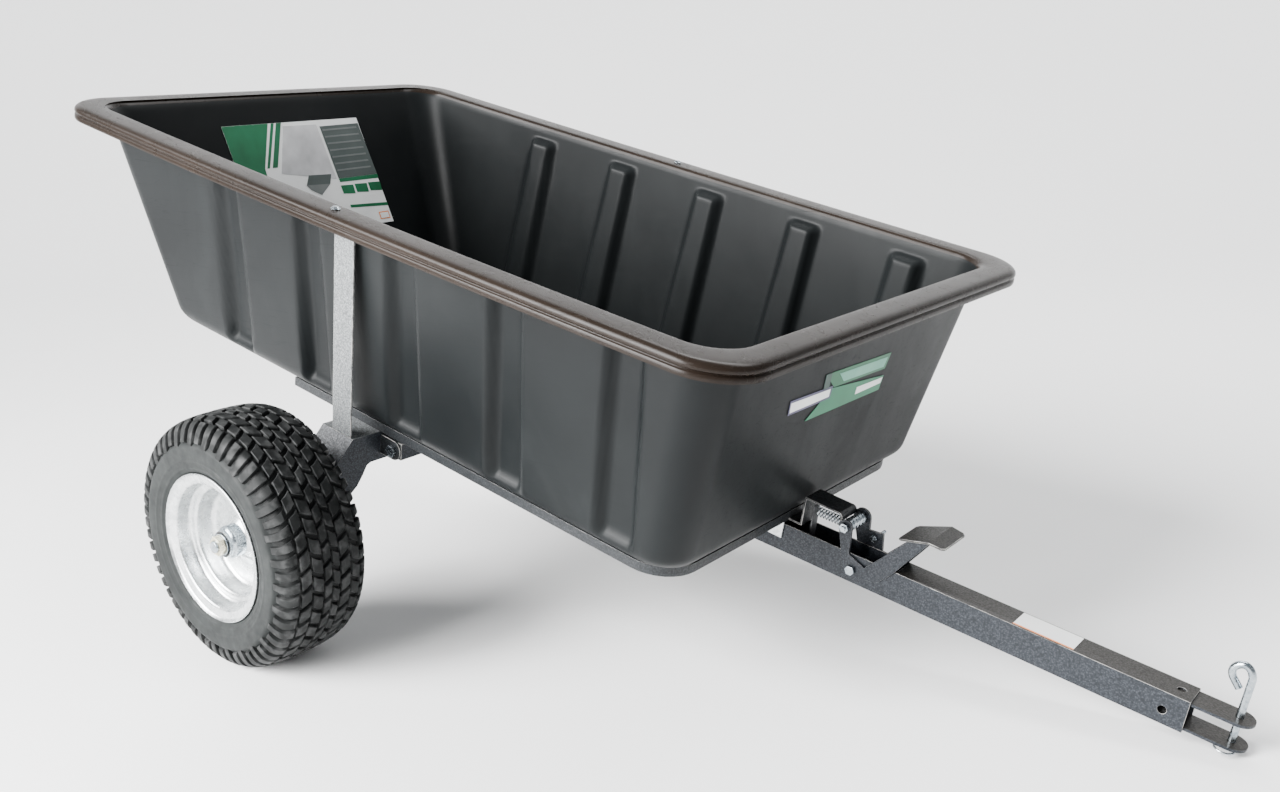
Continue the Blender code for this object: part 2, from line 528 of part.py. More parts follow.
# ---------------------------------------------------------------- tongue
def build_tongue(tongue, side_names):
    half = BAR_W / 2
    c = CROSS_HALF
    cross = mesh_object("tongue_crossbar", *box(-c, c, -CROSS_END_Y, CROSS_END_Y, -c, c), tongue, "hammertone")
    k = c - CROSS_T
    cut(cross, "cut_cross", box(-k, k, -0.270, 0.270, -k, k), tongue)
    cut(cross, "cut_cross_bore", lathe("Y", [(-0.35, 0), (-0.35, PIVOT_BOLT_R + GAP), (0.35, PIVOT_BOLT_R + GAP),
                                             (0.35, 0)], 20), tongue)
    for name, s in side_names:
        prof, flats = bolt_profile(s * (EAR_OUT + GAP), s * 0.275, PIVOT_BOLT_R, 0.0105, 0.0075)
        mesh_object("hinge_bolt_" + name, *lathe("Y", prof, 12, sides=flats), tongue, "zinc")
        y0, y1 = half + GAP, 0.115
        tri = [(0.004, s * y0), (0.120, s * y0), (0.118, s * (y0 + 0.004)), (0.022, s * y1), (0.004, s * y1)]
        mesh_object("tongue_gusset_" + name, *prism("Z", tri, -c - GAP - 0.004, -c - GAP), tongue, "hammertone")

    # drawbar: square tube, open on top where the latch works
    inner = half - BAR_T
    bar = mesh_object("drawbar", *prism("X", rect(-half, half, BAR_BOT, BAR_TOP), BAR_REAR, BAR_FRONT,
                                        [rect(-inner, inner, BAR_BOT + BAR_T, BAR_TOP - BAR_T)]),
                      tongue, "hammertone")
    cut(bar, "cut_slot", box(SLOT_REAR, SLOT_FRONT, -inner, inner, BAR_TOP - BAR_T - 0.001, BAR_TOP + 0.01), tongue)
    mid = (BAR_TOP + BAR_BOT) / 2
    cut(bar, "cut_lever_bore", lathe("Y", [(-0.05, 0), (-0.05, LEVER_BOLT_R + GAP), (0.05, LEVER_BOLT_R + GAP),
                                           (0.05, 0)], 16, LEVER_X, LEVER_Z), tongue)
    cut(bar, "cut_side_hole", lathe("Y", [(-0.05, 0), (-0.05, BAR_HOLE_R), (0.05, BAR_HOLE_R), (0.05, 0)], 16,
                                    SIDE_HOLE_X, mid - 0.0035), tongue)
    cut(bar, "cut_top_hole", lathe("Z", [(-0.02, 0), (-0.02, BAR_HOLE_R), (0.02, BAR_HOLE_R), (0.02, 0)], 16,
                                   TOP_HOLE_X, 0.0), tongue)

    # hitch clevis: a bent strap inside the end of the tube, with a pin hole in each ear
    r = EAR_W / 2
    zu1, zl0 = BAR_TOP - BAR_T - GAP, BAR_BOT + BAR_T + GAP
    zu0, zl1 = zu1 - EAR_T, zl0 + EAR_T
    plan = [(1.085, -r)] + arc(PIN_X, 0.0, r, -90, 90, 14) + [(1.085, r)]
    clevis = mesh_object("hitch_clevis", *prism("Z", plan, zl0, zu1, [circle(PIN_X, 0.0, PIN_R + 0.0006, 20)]),
                         tongue, "hammertone")
    cut(clevis, "cut_clevis", box(1.093, 1.35, -0.05, 0.05, zl1, zu0), tongue)

    # anchor strip for the latch spring, standing in the open part of the drawbar
    ax = 0.606
    foot = BAR_BOT + BAR_T + GAP
    side = [(ax, foot), (ax + 0.022, foot), (ax + 0.022, foot + 0.003), (ax + 0.003, foot + 0.003),
            (ax + 0.003, 0.0385), (ax, 0.0385)]
    mesh_object("spring_anchor", *prism("Y", side, -0.0080, 0.0080), tongue, "dark_steel")

    prof, flats = bolt_profile(-(PLATE_IN + PLATE_T + GAP), PLATE_IN + PLATE_T + GAP, LEVER_BOLT_R, 0.0082, 0.0055,
                               0.0080, 0.0065, 0.004)
    mesh_object("lever_bolt", *lathe("Y", prof, 12, LEVER_X, LEVER_Z, flats), tongue, "zinc")


def spring_path(x0, x1, y, z, radius, turns, per_turn):
    pts = []
    steps = turns * per_turn
    for i in range(steps + 1):
        a = 2 * math.pi * i / per_turn
        pts.append((x0 + (x1 - x0) * i / steps, y + radius * math.sin(a), z + radius * math.cos(a)))
    return pts


def tube_along(path, r, n):
    """Round wire along a 3-D path, with the section turned smoothly from point to point."""
    pts = [Vector(p) for p in path]
    tangents = []
    for i in range(len(pts)):
        a, b = pts[max(0, i - 1)], pts[min(len(pts) - 1, i + 1)]
        tangents.append((b - a).normalized())
    side = tangents[0].orthogonal().normalized()
    verts, faces = [], []
    for p, t in zip(pts, tangents):
        side = (side - t * side.dot(t)).normalized()
        other = t.cross(side)
        for k in range(n):
            a = 2 * math.pi * k / n
            verts.append(p + (side * math.cos(a) + other * math.sin(a)) * r)
    for i in range(len(pts) - 1):
        for k in range(n):
            j = (k + 1) % n
            faces.append((i * n + k, i * n + j, (i + 1) * n + j, (i + 1) * n + k))
    faces.append(tuple(range(n))[::-1])
    faces.append(tuple((len(pts) - 1) * n + k for k in range(n)))
    return verts, faces


# ---------------------------------------------------------------- latch
def to_tongue(x, z):
    """A bed-frame point as tongue-frame coordinates."""
    dx, dz = x - HINGE_X, z - HINGE_Z
    c, s = math.cos(TONGUE_RISE), math.sin(TONGUE_RISE)
    return dx * c + dz * s, -dx * s + dz * c


def build_latch(lever, tongue):
    off = (LEVER_X, 0.0, LEVER_Z)
    rx, rz = to_tongue(CATCH_FRONT + ROLLER_R + GAP + 0.0004, 0.1710)
    boss = 0.0155
    # underside of the foot pad: a slope from its rear edge to the bend, then nearly level
    x0, z0 = to_tongue(0.8298, 0.1893)
    x1, z1 = to_tongue(0.8797, 0.2080)
    x2, z2 = to_tongue(0.9040, 0.2063)
    slope = (z1 - z0) / (x1 - x0)
    pedal_arm = [(x0 + 0.0176, z0 + 0.0176 * slope - GAP), (x1 - 0.0010, z1 - 0.0010 * slope - GAP),
                 to_tongue(0.8342, 0.1332)]
    top_near = [to_tongue(*p) for p in ((0.7585, 0.1310), (0.7880, 0.1205))]
    top_far = [to_tongue(*p) for p in ((0.7600, 0.1560), (0.7840, 0.1590), (0.7885, 0.1310), (0.7960, 0.1308))]
    bores = [circle(LEVER_X, LEVER_Z, LEVER_BOLT_R + GAP, 16), circle(rx, rz, ROLLER_PIN_R + GAP, 16)]
    stop = to_tongue(0.7712, 0.1465)
    for name, s, top, arm in (("right", -1, top_near, 0.0115), ("left", 1, top_far, 0.0150)):
        head = arc(rx, rz, arm, 180, 10, 9)
        foot = arc(LEVER_X, LEVER_Z, boss, -40, -180, 8)
        outline = head + top + pedal_arm + [to_tongue(0.8120, 0.1060)] + foot
        holes = list(bores)
        if s > 0:
            holes.append(circle(stop[0], stop[1], 0.0033, 14))
        w = sorted((s * PLATE_IN, s * (PLATE_IN + PLATE_T)))
        mesh_object("latch_plate_" + name, *prism("Y", outline, w[0], w[1], holes), lever, "hammertone", off)

    # foot pedal: a bent pad with clipped corners standing on both plates
    t = 0.0035
    clip = 0.0045
    level = (z2 - z1) / (x2 - x1)
    stations = [(x0, z0, 0.0270), (x0 + clip, z0 + slope * clip, 0.0320), (x1, z1, 0.0395),
                (x2 - clip, z2 - level * clip, 0.0375), (x2, z2, 0.0320)]
    verts, faces = [], []
    for x, z, hw in stations:
        verts += [(x, -hw, z), (x, hw, z), (x, hw, z + t), (x, -hw, z + t)]
    for i in range(len(stations) - 1):
        a, b = 4 * i, 4 * i + 4
        for k in range(4):
            j = (k + 1) % 4
            faces.append((a + k, a + j, b + j, b + k))
    faces += [(0, 1, 2, 3), tuple(4 * len(stations) - 4 + k for k in (3, 2, 1, 0))]
    mesh_object("pedal_pad", verts, faces, lever, "hammertone", off)

    # roller sleeve on its own bolt between the arms
    a = PLATE_IN - GAP
    prof = [(-a, ROLLER_PIN_R + GAP), (-a, ROLLER_R), (a, ROLLER_R), (a, ROLLER_PIN_R + GAP)]
    mesh_object("latch_roller", *lathe("Y", prof, 24, rx, rz), lever, "zinc", off)
    e = PLATE_IN + PLATE_T + GAP
    prof, flats = bolt_profile(e, -e, ROLLER_PIN_R, 0.0078, 0.0050, 0.0078, 0.0060, 0.003)
    mesh_object("roller_bolt", *lathe("Y", prof, 12, rx, rz, flats), lever, "zinc", off)

    # stop bolt through the far plate, threaded end outwards
    prof, flats = bolt_profile(PLATE_IN - GAP, e, 0.0030, 0.0062, 0.0045, 0.0062, 0.0050, 0.024)
    mesh_object("stop_bolt", *lathe("Y", prof, 12, stop[0], stop[1], flats), lever, "zinc", off)

    path = spring_path(0.6108, rx - ROLLER_R - 0.0016, 0.0, rz - 0.0072, 0.0068, 7, 10)
    mesh_object("latch_spring", *tube_along(path, 0.0013, 5), tongue, "spring_steel")


# ---------------------------------------------------------------- hitch pin and clip
def build_hitch_pin(slide, clip):
    path = [(0, 0, PIN_BOTTOM), (0, 0, 0.0500),
            (-0.0012, 0, 0.0575), (-0.0052, 0, 0.0630), (-0.0115, 0, 0.0660), (-0.0185, 0, 0.0640), (-0.0235, 0, 0.0585),
            (-0.0250, 0, 0.0515), (-0.0225, 0, 0.0450), (-0.0170, 0, 0.0385), (-0.0108, 0, 0.0315)]
    verts, faces = tube_along(path, PIN_R, 12)
    pin = mesh_object("hitch_pin", verts, faces, slide, "zinc")
    d = Vector((math.cos(CLIP_DIR), math.sin(CLIP_DIR), 0))
    bore = tube_along([d * -0.02 + Vector((0, 0, CLIP_Z)), Vector((0, 0, CLIP_Z)), d * 0.02 + Vector((0, 0, CLIP_Z))],
                      CLIP_R + 0.0004, 12)
    cut(pin, "cut_clip_bore", bore, slide)
    # clip: straight leg through the pin, then a ring under the lower ear
    side = Vector((-d.y, d.x, 0))
    leg = [d * w for w in (-0.0150, -0.005, 0.0075)]
    centre = d * 0.0085 + side * CLIP_RING_R
    ring = []
    for i in range(0, 15):
        a = math.radians(20 * i)
        ring.append(centre - side * CLIP_RING_R * math.cos(a) + d * CLIP_RING_R * math.sin(a))
    path = [p + Vector((0, 0, CLIP_Z)) for p in leg + ring[0:15]]
    mesh_object("hitch_clip", *tube_along(path, CLIP_R, 8), clip, "spring_steel")


def main():
    clear_scene()
    sides = (("right", -1), ("left", 1))
    axle = Vector((SHIFT_X, 0.0, TYRE_R))
    bed_rot = Matrix.Rotation(BED_TILT, 3, "Y")
    hinge = axle + bed_rot @ Vector(BED_OFF)
    tongue = empty("tongue_frame", None, hinge, TONGUE_TILT)
    bed = empty("bed_hinge", tongue, (0, 0, 0), BED_TILT - TONGUE_TILT)
    build_bed(bed, sides)
    for name, s in sides:
        axis = empty("axle_" + name, bed, (-HINGE_X, 0, -HINGE_Z))
        build_wheel(axis, name, s)
    build_tongue(tongue, sides)
    lever = empty("latch_hinge", tongue, (LEVER_X, 0, LEVER_Z))
    build_latch(lever, tongue)
    slide = empty("hitch_pin_slide", tongue, (PIN_X, 0, 0))
    clip = empty("hitch_clip_slide", slide, (0, 0, 0))
    build_hitch_pin(slide, clip)


main()
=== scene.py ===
"""Looks of the tow-behind dump cart: smooth tub, treaded tyres, dished rims, bevelled steel and hardware.

Positions use two level frames.  In the bed frame the origin is on the axle line, +X forward, +Z square to
the tub rim.  In the tongue frame the origin is on the dump hinge and +X runs along the drawbar.
"""
import json
import math

import bmesh
import bpy
from mathutils import Matrix, Vector
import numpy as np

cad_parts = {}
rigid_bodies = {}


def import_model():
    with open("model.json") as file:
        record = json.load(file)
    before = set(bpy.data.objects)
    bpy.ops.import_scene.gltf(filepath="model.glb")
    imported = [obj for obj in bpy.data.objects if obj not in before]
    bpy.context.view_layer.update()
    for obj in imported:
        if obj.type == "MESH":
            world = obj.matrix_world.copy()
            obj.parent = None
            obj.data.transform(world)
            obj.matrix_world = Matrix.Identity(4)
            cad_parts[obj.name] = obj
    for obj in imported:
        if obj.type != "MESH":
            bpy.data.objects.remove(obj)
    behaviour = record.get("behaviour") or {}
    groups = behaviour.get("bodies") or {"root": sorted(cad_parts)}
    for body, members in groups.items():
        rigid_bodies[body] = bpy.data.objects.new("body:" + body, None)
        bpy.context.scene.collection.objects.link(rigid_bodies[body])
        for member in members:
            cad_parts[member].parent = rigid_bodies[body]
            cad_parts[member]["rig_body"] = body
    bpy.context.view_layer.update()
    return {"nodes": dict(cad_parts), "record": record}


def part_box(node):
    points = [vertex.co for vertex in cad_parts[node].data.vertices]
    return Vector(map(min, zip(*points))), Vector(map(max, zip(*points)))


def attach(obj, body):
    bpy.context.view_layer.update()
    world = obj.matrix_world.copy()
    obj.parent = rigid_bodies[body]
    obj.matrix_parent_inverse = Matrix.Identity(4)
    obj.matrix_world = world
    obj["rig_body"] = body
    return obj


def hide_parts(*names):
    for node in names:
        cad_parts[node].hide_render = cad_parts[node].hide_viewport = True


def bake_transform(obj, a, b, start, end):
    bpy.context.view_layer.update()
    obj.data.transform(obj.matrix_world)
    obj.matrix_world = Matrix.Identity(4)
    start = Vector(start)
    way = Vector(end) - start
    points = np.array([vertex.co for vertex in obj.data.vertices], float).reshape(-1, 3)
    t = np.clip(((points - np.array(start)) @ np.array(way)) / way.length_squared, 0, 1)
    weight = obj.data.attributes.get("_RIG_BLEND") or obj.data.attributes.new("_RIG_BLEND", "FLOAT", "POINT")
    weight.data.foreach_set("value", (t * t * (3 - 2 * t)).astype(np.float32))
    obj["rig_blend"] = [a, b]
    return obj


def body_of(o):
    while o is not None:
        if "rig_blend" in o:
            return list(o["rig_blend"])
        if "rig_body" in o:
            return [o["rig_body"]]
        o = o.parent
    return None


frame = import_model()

JOINTS = {j["name"]: j for j in frame["record"]["behaviour"]["joints"]}
SIDES = (("right", -1), ("left", 1))

# ---------------------------------------------------------------- frames
axle_x, _, axle_z = JOINTS["wheel_left_spin"]["pos_m"]
hinge = Vector(JOINTS["dump"]["pos_m"])
slide = JOINTS["hitch_pin_slide"]["axis"]
TONGUE_TILT = math.atan2(slide[0], slide[2])
TONGUE_RISE = 0.0318                      # how far the drawbar's slope falls short of the bed's
BED_TILT = TONGUE_TILT + TONGUE_RISE
BED = Matrix.Translation((axle_x, 0, axle_z)) @ Matrix.Rotation(BED_TILT, 4, "Y")
TONGUE = Matrix.Translation(hinge) @ Matrix.Rotation(TONGUE_TILT, 4, "Y")

TRACK_HALF = 0.552                        # from the middle of the axle to the middle of a tyre
PIN_X = 1.2538                            # the hitch pin, along the drawbar from the hinge

# the camera in the bed frame, for an image 1280 across
CAMERA_AT = Vector((1.4539, -1.587, 1.0327))
CAMERA_RIGHT = Vector((0.76888, 0.6248, 0.13582))
CAMERA_DOWN = Vector((0.34153, -0.22174, -0.91334))
CAMERA_AHEAD = Vector((-0.54054, 0.74863, -0.38388))
FOCAL, IMAGE_WIDTH, SENSOR = 1243.7, 1280.0, 36.0


# ---------------------------------------------------------------- material helpers
class Mat:
    """A small wrapper that builds one node material."""

    def __init__(self, name, colour, metallic=0.0, rough=0.5, **sockets):
        self.mat = bpy.data.materials.new(name)
        self.mat.use_nodes = True
        self.tree = self.mat.node_tree
        self.shader = self.tree.nodes["Principled BSDF"]
        self.set("Base Color", (*colour, 1.0))
        self.set("Metallic", metallic)
        self.set("Roughness", rough)
        for key, value in sockets.items():
            self.set(key.replace("_", " "), value)
        self.coords = self.node("ShaderNodeTexCoord").outputs["Object"]
        self.bumped = None

    def set(self, name, value):
        self.shader.inputs[name].default_value = value

    def node(self, kind, **settings):
        node = self.tree.nodes.new(kind)
        for key, value in settings.items():
            setattr(node, key, value)
        return node

    def link(self, a, b):
        self.tree.links.new(a, b)

    def noise(self, scale, detail=3.0, rough=0.5, stretch=None, distort=0.0):
        node = self.node("ShaderNodeTexNoise")
        node.inputs["Scale"].default_value = scale
        node.inputs["Detail"].default_value = detail
        node.inputs["Roughness"].default_value = rough
        node.inputs["Distortion"].default_value = distort
        self.link(self.stretched(stretch), node.inputs["Vector"])
        return node.outputs["Fac"]

    def stretched(self, stretch):
        if not stretch:
            return self.coords
        mapping = self.node("ShaderNodeMapping")
        mapping.inputs["Scale"].default_value = stretch
        self.link(self.coords, mapping.inputs["Vector"])
        return mapping.outputs["Vector"]

    def cells(self, scale, feature="F1", out="Distance"):
        node = self.node("ShaderNodeTexVoronoi", feature=feature)
        node.inputs["Scale"].default_value = scale
        self.link(self.coords, node.inputs["Vector"])
        return node.outputs[out]

    def ramp(self, value, stops):
        node = self.node("ShaderNodeValToRGB")
        ramp = node.color_ramp
        while len(ramp.elements) < len(stops):
            ramp.elements.new(0.5)
        for element, (at, colour) in zip(ramp.elements, stops):
            element.position = at
            element.color = (*colour, 1.0) if len(colour) == 3 else (colour[0],) * 3 + (1.0,)
        self.link(value, node.inputs["Fac"])
        return node.outputs["Color"]

    def mix(self, a, b, factor, mode="MIX"):
        node = self.node("ShaderNodeMix", data_type="RGBA", blend_type=mode)
        for socket, value in (("Factor", factor), ("A", a), ("B", b)):
            sockets = [s for s in node.inputs if s.name == socket and s.enabled]
            target = sockets[-1] if socket != "Factor" else sockets[0]
            if isinstance(value, bpy.types.NodeSocket):
                self.link(value, target)
            elif socket == "Factor":
                target.default_value = value
            else:
                target.default_value = (*value, 1.0)
        return [s for s in node.outputs if s.enabled][0]

    def bump(self, height, strength, distance):
        node = self.node("ShaderNodeBump")
        node.inputs["Strength"].default_value = strength
        node.inputs["Distance"].default_value = distance
        self.link(height, node.inputs["Height"])
        if self.bumped:
            self.link(self.bumped, node.inputs["Normal"])
        self.bumped = node.outputs["Normal"]
        self.link(self.bumped, self.shader.inputs["Normal"])

    def colour(self, socket):
        self.link(socket, self.shader.inputs["Base Color"])

    def roughness(self, socket):
        self.link(socket, self.shader.inputs["Roughness"])

    def edge_wear(self, base, worn, low=0.55, high=0.66):
        """Lighter colour where the surface is sharply convex."""
        geo = self.node("ShaderNodeNewGeometry")
        edge = self.ramp(geo.outputs["Pointiness"], [(low, (0.0,)), (high, (1.0,))])
        patch = self.ramp(self.noise(60.0), [(0.48, (0.0,)), (0.66, (1.0,))])
        return self.mix(base, worn, self.mix(edge, patch, 1.0, "MULTIPLY"))


def make_materials():
    mats = {}

    def plastic(name, low, high, scuff, amount, rough):
        m = Mat(name, low, rough=0.36, Specular_IOR_Level=0.12)
        smooth, dull = rough
        tone = m.ramp(m.noise(3.0, 4.0, 0.55), [(0.3, low), (0.7, high)])
        marks = m.ramp(m.noise(7.0, 7.0, 0.72, (1.0, 1.0, 0.35), 0.8), [(0.56, (0.0,)), (0.74, (amount,))])
        m.colour(m.mix(tone, scuff, marks))
        cloud = m.ramp(m.noise(6.0, 6.0, 0.66, (1.0, 1.0, 0.4), 0.5), [(0.32, (smooth,)), (0.68, (dull,))])
        streaks = m.noise(2.2, 2.0, 0.5, (1.0, 14.0, 30.0), 1.2)
        scratch = m.ramp(streaks, [(0.495, (0.0,)), (0.505, (1.0,)), (0.515, (0.0,))])
        m.roughness(m.mix(cloud, (0.62, 0.62, 0.62), m.mix(scratch, (0.5, 0.5, 0.5), 1.0, "MULTIPLY")))
        m.bump(m.noise(5.0, 2.0, 0.5), 0.22, 0.004)
        m.bump(m.noise(1100.0, 2.0), 0.06, 0.0003)
        mats[name] = m.mat

    plastic("poly", (0.0040, 0.0048, 0.0052), (0.0080, 0.0094, 0.0098),
            (0.040, 0.045, 0.046), 0.10, (0.34, 0.48))
    # painted reflection: a lighter, brown copy of the poly for the lip's top and rolled edge, standing in for
    # the reflection they take from above
    plastic("lip_warm_reflection", (0.0090, 0.0062, 0.0046), (0.0170, 0.0118, 0.0088),
            (0.075, 0.060, 0.050), 0.16, (0.22, 0.32))

    def hammertone(name, dark, mid, light):
        m = Mat(name, mid, metallic=0.12, rough=0.42, Specular_IOR_Level=0.28)
        pattern = m.mix(m.cells(380.0, "SMOOTH_F1"), m.noise(560.0, 2.0, 0.5), 0.45)
        m.colour(m.ramp(pattern, [(0.26, light), (0.44, mid), (0.62, dark)]))
        m.roughness(m.ramp(pattern, [(0.3, (0.32,)), (0.6, (0.48,))]))
        m.bump(pattern, 0.40, 0.0007)
        mats[name] = m.mat

    hammertone("hammertone", (0.009, 0.011, 0.014), (0.018, 0.021, 0.026), (0.042, 0.047, 0.056))
    # painted light: a lighter copy of the hammertone for the axle beam's top and the straps, where the light
    # falls strongest
    hammertone("hammertone_lit_copy", (0.085, 0.090, 0.092), (0.150, 0.158, 0.161), (0.270, 0.285, 0.290))
    # painted shade: a slightly darker, less blue copy of the hammertone for the parts that sit in the shade
    # under the tub
    hammertone("hammertone_shaded_copy", (0.009, 0.010, 0.011), (0.018, 0.020, 0.022), (0.040, 0.043, 0.046))
    # painted reflection: a warm brown copy of the hammertone for upward faces, standing in for the reflection
    # they take from above
    hammertone("hammertone_warm_reflection", (0.011, 0.0095, 0.0085), (0.018, 0.0165, 0.0145), (0.031, 0.029, 0.026))

    m = Mat("worn_edge", (0.20, 0.20, 0.19), metallic=0.35, rough=0.40)
    patch = m.ramp(m.noise(70.0, 4.0), [(0.36, (0.0,)), (0.60, (1.0,))])
    m.colour(m.mix((0.10, 0.10, 0.10), (0.42, 0.41, 0.39), patch))
    m.roughness(m.ramp(m.noise(240.0), [(0.3, (0.30,)), (0.7, (0.50,))]))
    mats["worn_edge"] = m.mat

    m = Mat("coated_strip", (0.05, 0.052, 0.055), metallic=0.5, rough=0.45)
    tone = m.ramp(m.noise(180.0, 4.0), [(0.3, (0.03, 0.031, 0.033)), (0.7, (0.08, 0.083, 0.088))])
    m.colour(m.edge_wear(tone, (0.3, 0.3, 0.3)))
    m.bump(m.noise(700.0), 0.2, 0.0003)
    mats["dark_steel"] = m.mat

    m = Mat("zinc_plate", (0.62, 0.64, 0.66), metallic=1.0, rough=0.28)
    m.colour(m.ramp(m.noise(140.0, 4.0, 0.6), [(0.3, (0.24, 0.28, 0.31)), (0.7, (0.46, 0.50, 0.53))]))
    m.roughness(m.ramp(m.noise(300.0, 3.0), [(0.3, (0.16,)), (0.7, (0.32,))]))
    m.bump(m.noise(800.0, 2.0), 0.12, 0.0003)
    mats["zinc"] = m.mat

    m = Mat("yellow_zinc", (0.60, 0.55, 0.40), metallic=1.0, rough=0.30)
    m.colour(m.ramp(m.noise(120.0, 4.0, 0.6), [(0.3, (0.50, 0.44, 0.30)), (0.7, (0.72, 0.68, 0.55))]))
    m.roughness(m.ramp(m.noise(300.0, 3.0), [(0.3, (0.22,)), (0.7, (0.42,))]))
    m.bump(m.noise(800.0, 2.0), 0.12, 0.0003)
    mats["yellow_zinc"] = m.mat

    m = Mat("galvanised", (0.72, 0.73, 0.73), metallic=0.9, rough=0.36)
    spangle = m.cells(150.0, out="Color")
    cloudy = m.mix(spangle, m.noise(40.0, 5.0, 0.6), 0.6)
    m.colour(m.ramp(cloudy, [(0.25, (0.48, 0.50, 0.51)), (0.75, (0.76, 0.78, 0.78))]))
    m.roughness(m.ramp(m.noise(60.0, 4.0, 0.6), [(0.3, (0.20,)), (0.7, (0.34,))]))
    m.bump(m.noise(420.0, 3.0), 0.08, 0.0004)
    mats["galvanised"] = m.mat

    # the sidewall copy is lighter than the tread: painted sheen for the satin sidewalls
    for name, low, high, worn in (
            ("tyre", (0.006, 0.0065, 0.0065), (0.017, 0.018, 0.018), (0.040, 0.041, 0.041)),
            ("tyre_sidewall_sheen", (0.010, 0.0112, 0.0112), (0.022, 0.0245, 0.024), (0.045, 0.045, 0.045))):
        m = Mat(name, low, rough=0.6, Specular_IOR_Level=0.13)
        m.colour(m.edge_wear(m.ramp(m.noise(26.0, 6.0, 0.65), [(0.30, low), (0.75, high)]), worn, 0.50, 0.60))
        m.roughness(m.ramp(m.noise(70.0, 4.0), [(0.3, (0.46,)), (0.7, (0.70,))]))
        m.bump(m.noise(520.0, 3.0), 0.18, 0.0005)
        mats[name] = m.mat

    m = Mat("black_rubber", (0.02, 0.02, 0.02), rough=0.6)
    m.colour(m.ramp(m.noise(200.0), [(0.3, (0.012, 0.012, 0.012)), (0.7, (0.035, 0.035, 0.035))]))
    m.bump(m.noise(900.0), 0.15, 0.0003)
    mats["rubber"] = m.mat

    m = Mat("spring_wire", (0.66, 0.68, 0.70), metallic=1.0, rough=0.24)
    m.roughness(m.ramp(m.noise(400.0), [(0.3, (0.18,)), (0.7, (0.34,))]))
    m.colour(m.ramp(m.noise(160.0), [(0.3, (0.34, 0.38, 0.41)), (0.7, (0.62, 0.65, 0.67))]))
    mats["spring_steel"] = m.mat

    for name, low, high, rough in (
            ("label_white", (0.80, 0.81, 0.80), (0.88, 0.89, 0.88), 0.42),
            ("label_green", (0.001, 0.095, 0.034), (0.004, 0.150, 0.060), 0.38),
            ("label_deep", (0.012, 0.040, 0.030), (0.022, 0.070, 0.050), 0.40),
            ("label_mid", (0.002, 0.130, 0.052), (0.006, 0.185, 0.082), 0.38),
            ("label_mint", (0.110, 0.330, 0.240), (0.180, 0.420, 0.310), 0.40),
            ("label_grey", (0.40, 0.40, 0.41), (0.66, 0.66, 0.67), 0.42),
            ("label_soft", (0.110, 0.125, 0.122), (0.160, 0.175, 0.170), 0.42),
            ("label_dark", (0.050, 0.066, 0.062), (0.075, 0.092, 0.088), 0.42),
            ("label_navy", (0.055, 0.050, 0.110), (0.100, 0.095, 0.170), 0.40),
            ("label_orange", (0.70, 0.20, 0.06), (0.85, 0.28, 0.08), 0.45)):
        m = Mat(name, high, rough=rough)
        m.colour(m.ramp(m.noise(16.0, 3.0), [(0.3, low), (0.7, high)]))
        m.bump(m.noise(260.0, 3.0), 0.06, 0.0003)
        mats[name] = m.mat
    return mats


MATS = make_materials()


# ---------------------------------------------------------------- mesh helpers
SHARP = 32.0                              # degrees between faces, above which a steel edge is an edge


def mesh_piece(name, verts, faces, mats, body, slot, smooth=40.0, indices=None):
    mesh = bpy.data.meshes.new(name)
    mesh.from_pydata(verts, [], faces)
    for mat in mats if isinstance(mats, list) else [mats]:
        mesh.materials.append(MATS[mat])
    if indices:
        mesh.polygons.foreach_set("material_index", indices)
    bm = bmesh.new()
    bm.from_mesh(mesh)
    bmesh.ops.recalc_face_normals(bm, faces=bm.faces[:])
    bm.to_mesh(mesh)
    bm.free()
    mesh.shade_smooth()
    mesh.set_sharp_from_angle(angle=math.radians(smooth))
    obj = bpy.data.objects.new(name, mesh)
    bpy.context.scene.collection.objects.link(obj)
    if body:
        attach(obj, body)
    return obj


def bevel(obj, width, material):
    """Round the sharp edges; the new faces take the look at index material, or their neighbours' at -1."""
    mod = obj.modifiers.new("edges", "BEVEL")
    mod.width = width
    mod.segments = 2
    mod.limit_method = "ANGLE"
    mod.angle_limit = math.radians(SHARP)
    mod.harden_normals = True
    mod.miter_outer = "MITER_ARC"
    mod.material = material


def dress(node, mat, width, slot=None, top=None, edge=None):
    """A CAD node's own shape, its flat facets joined and edges rounded; edge is the look of the rounded edges
    and top the look of the upward faces, with the light that falls there painted in.
    """
    source = frame["nodes"][node]
    bm = bmesh.new()
    bm.from_mesh(source.data)
    bmesh.ops.remove_doubles(bm, verts=bm.verts[:], dist=0.00002)
    bmesh.ops.dissolve_limit(bm, angle_limit=math.radians(1.5), verts=bm.verts[:], edges=bm.edges[:])
    mesh = bpy.data.meshes.new(node + "_finish")
    bm.to_mesh(mesh)
    bm.free()
    mesh.materials.clear()
    for look in (mat, top or mat, edge or mat):
        mesh.materials.append(MATS[look])
    for face in mesh.polygons:
        # upward faces take the top look: a copy of the steel with the light that falls on them painted in
        face.material_index = 1 if top and face.normal.z > 0.9 else 0
    mesh.shade_smooth()
    mesh.set_sharp_from_angle(angle=math.radians(SHARP))
    obj = bpy.data.objects.new(node + "_finish", mesh)
    bpy.context.scene.collection.objects.link(obj)
    obj.matrix_world = source.matrix_world.copy()
    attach(obj, body_of(source)[0])
    slot or mat
    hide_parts(node)
    bevel(obj, width, 2 if edge else -1)


def smoothstep(a, b, x):
    t = min(1.0, max(0.0, (x - a) / (b - a)))
    return t * t * (3 - 2 * t)


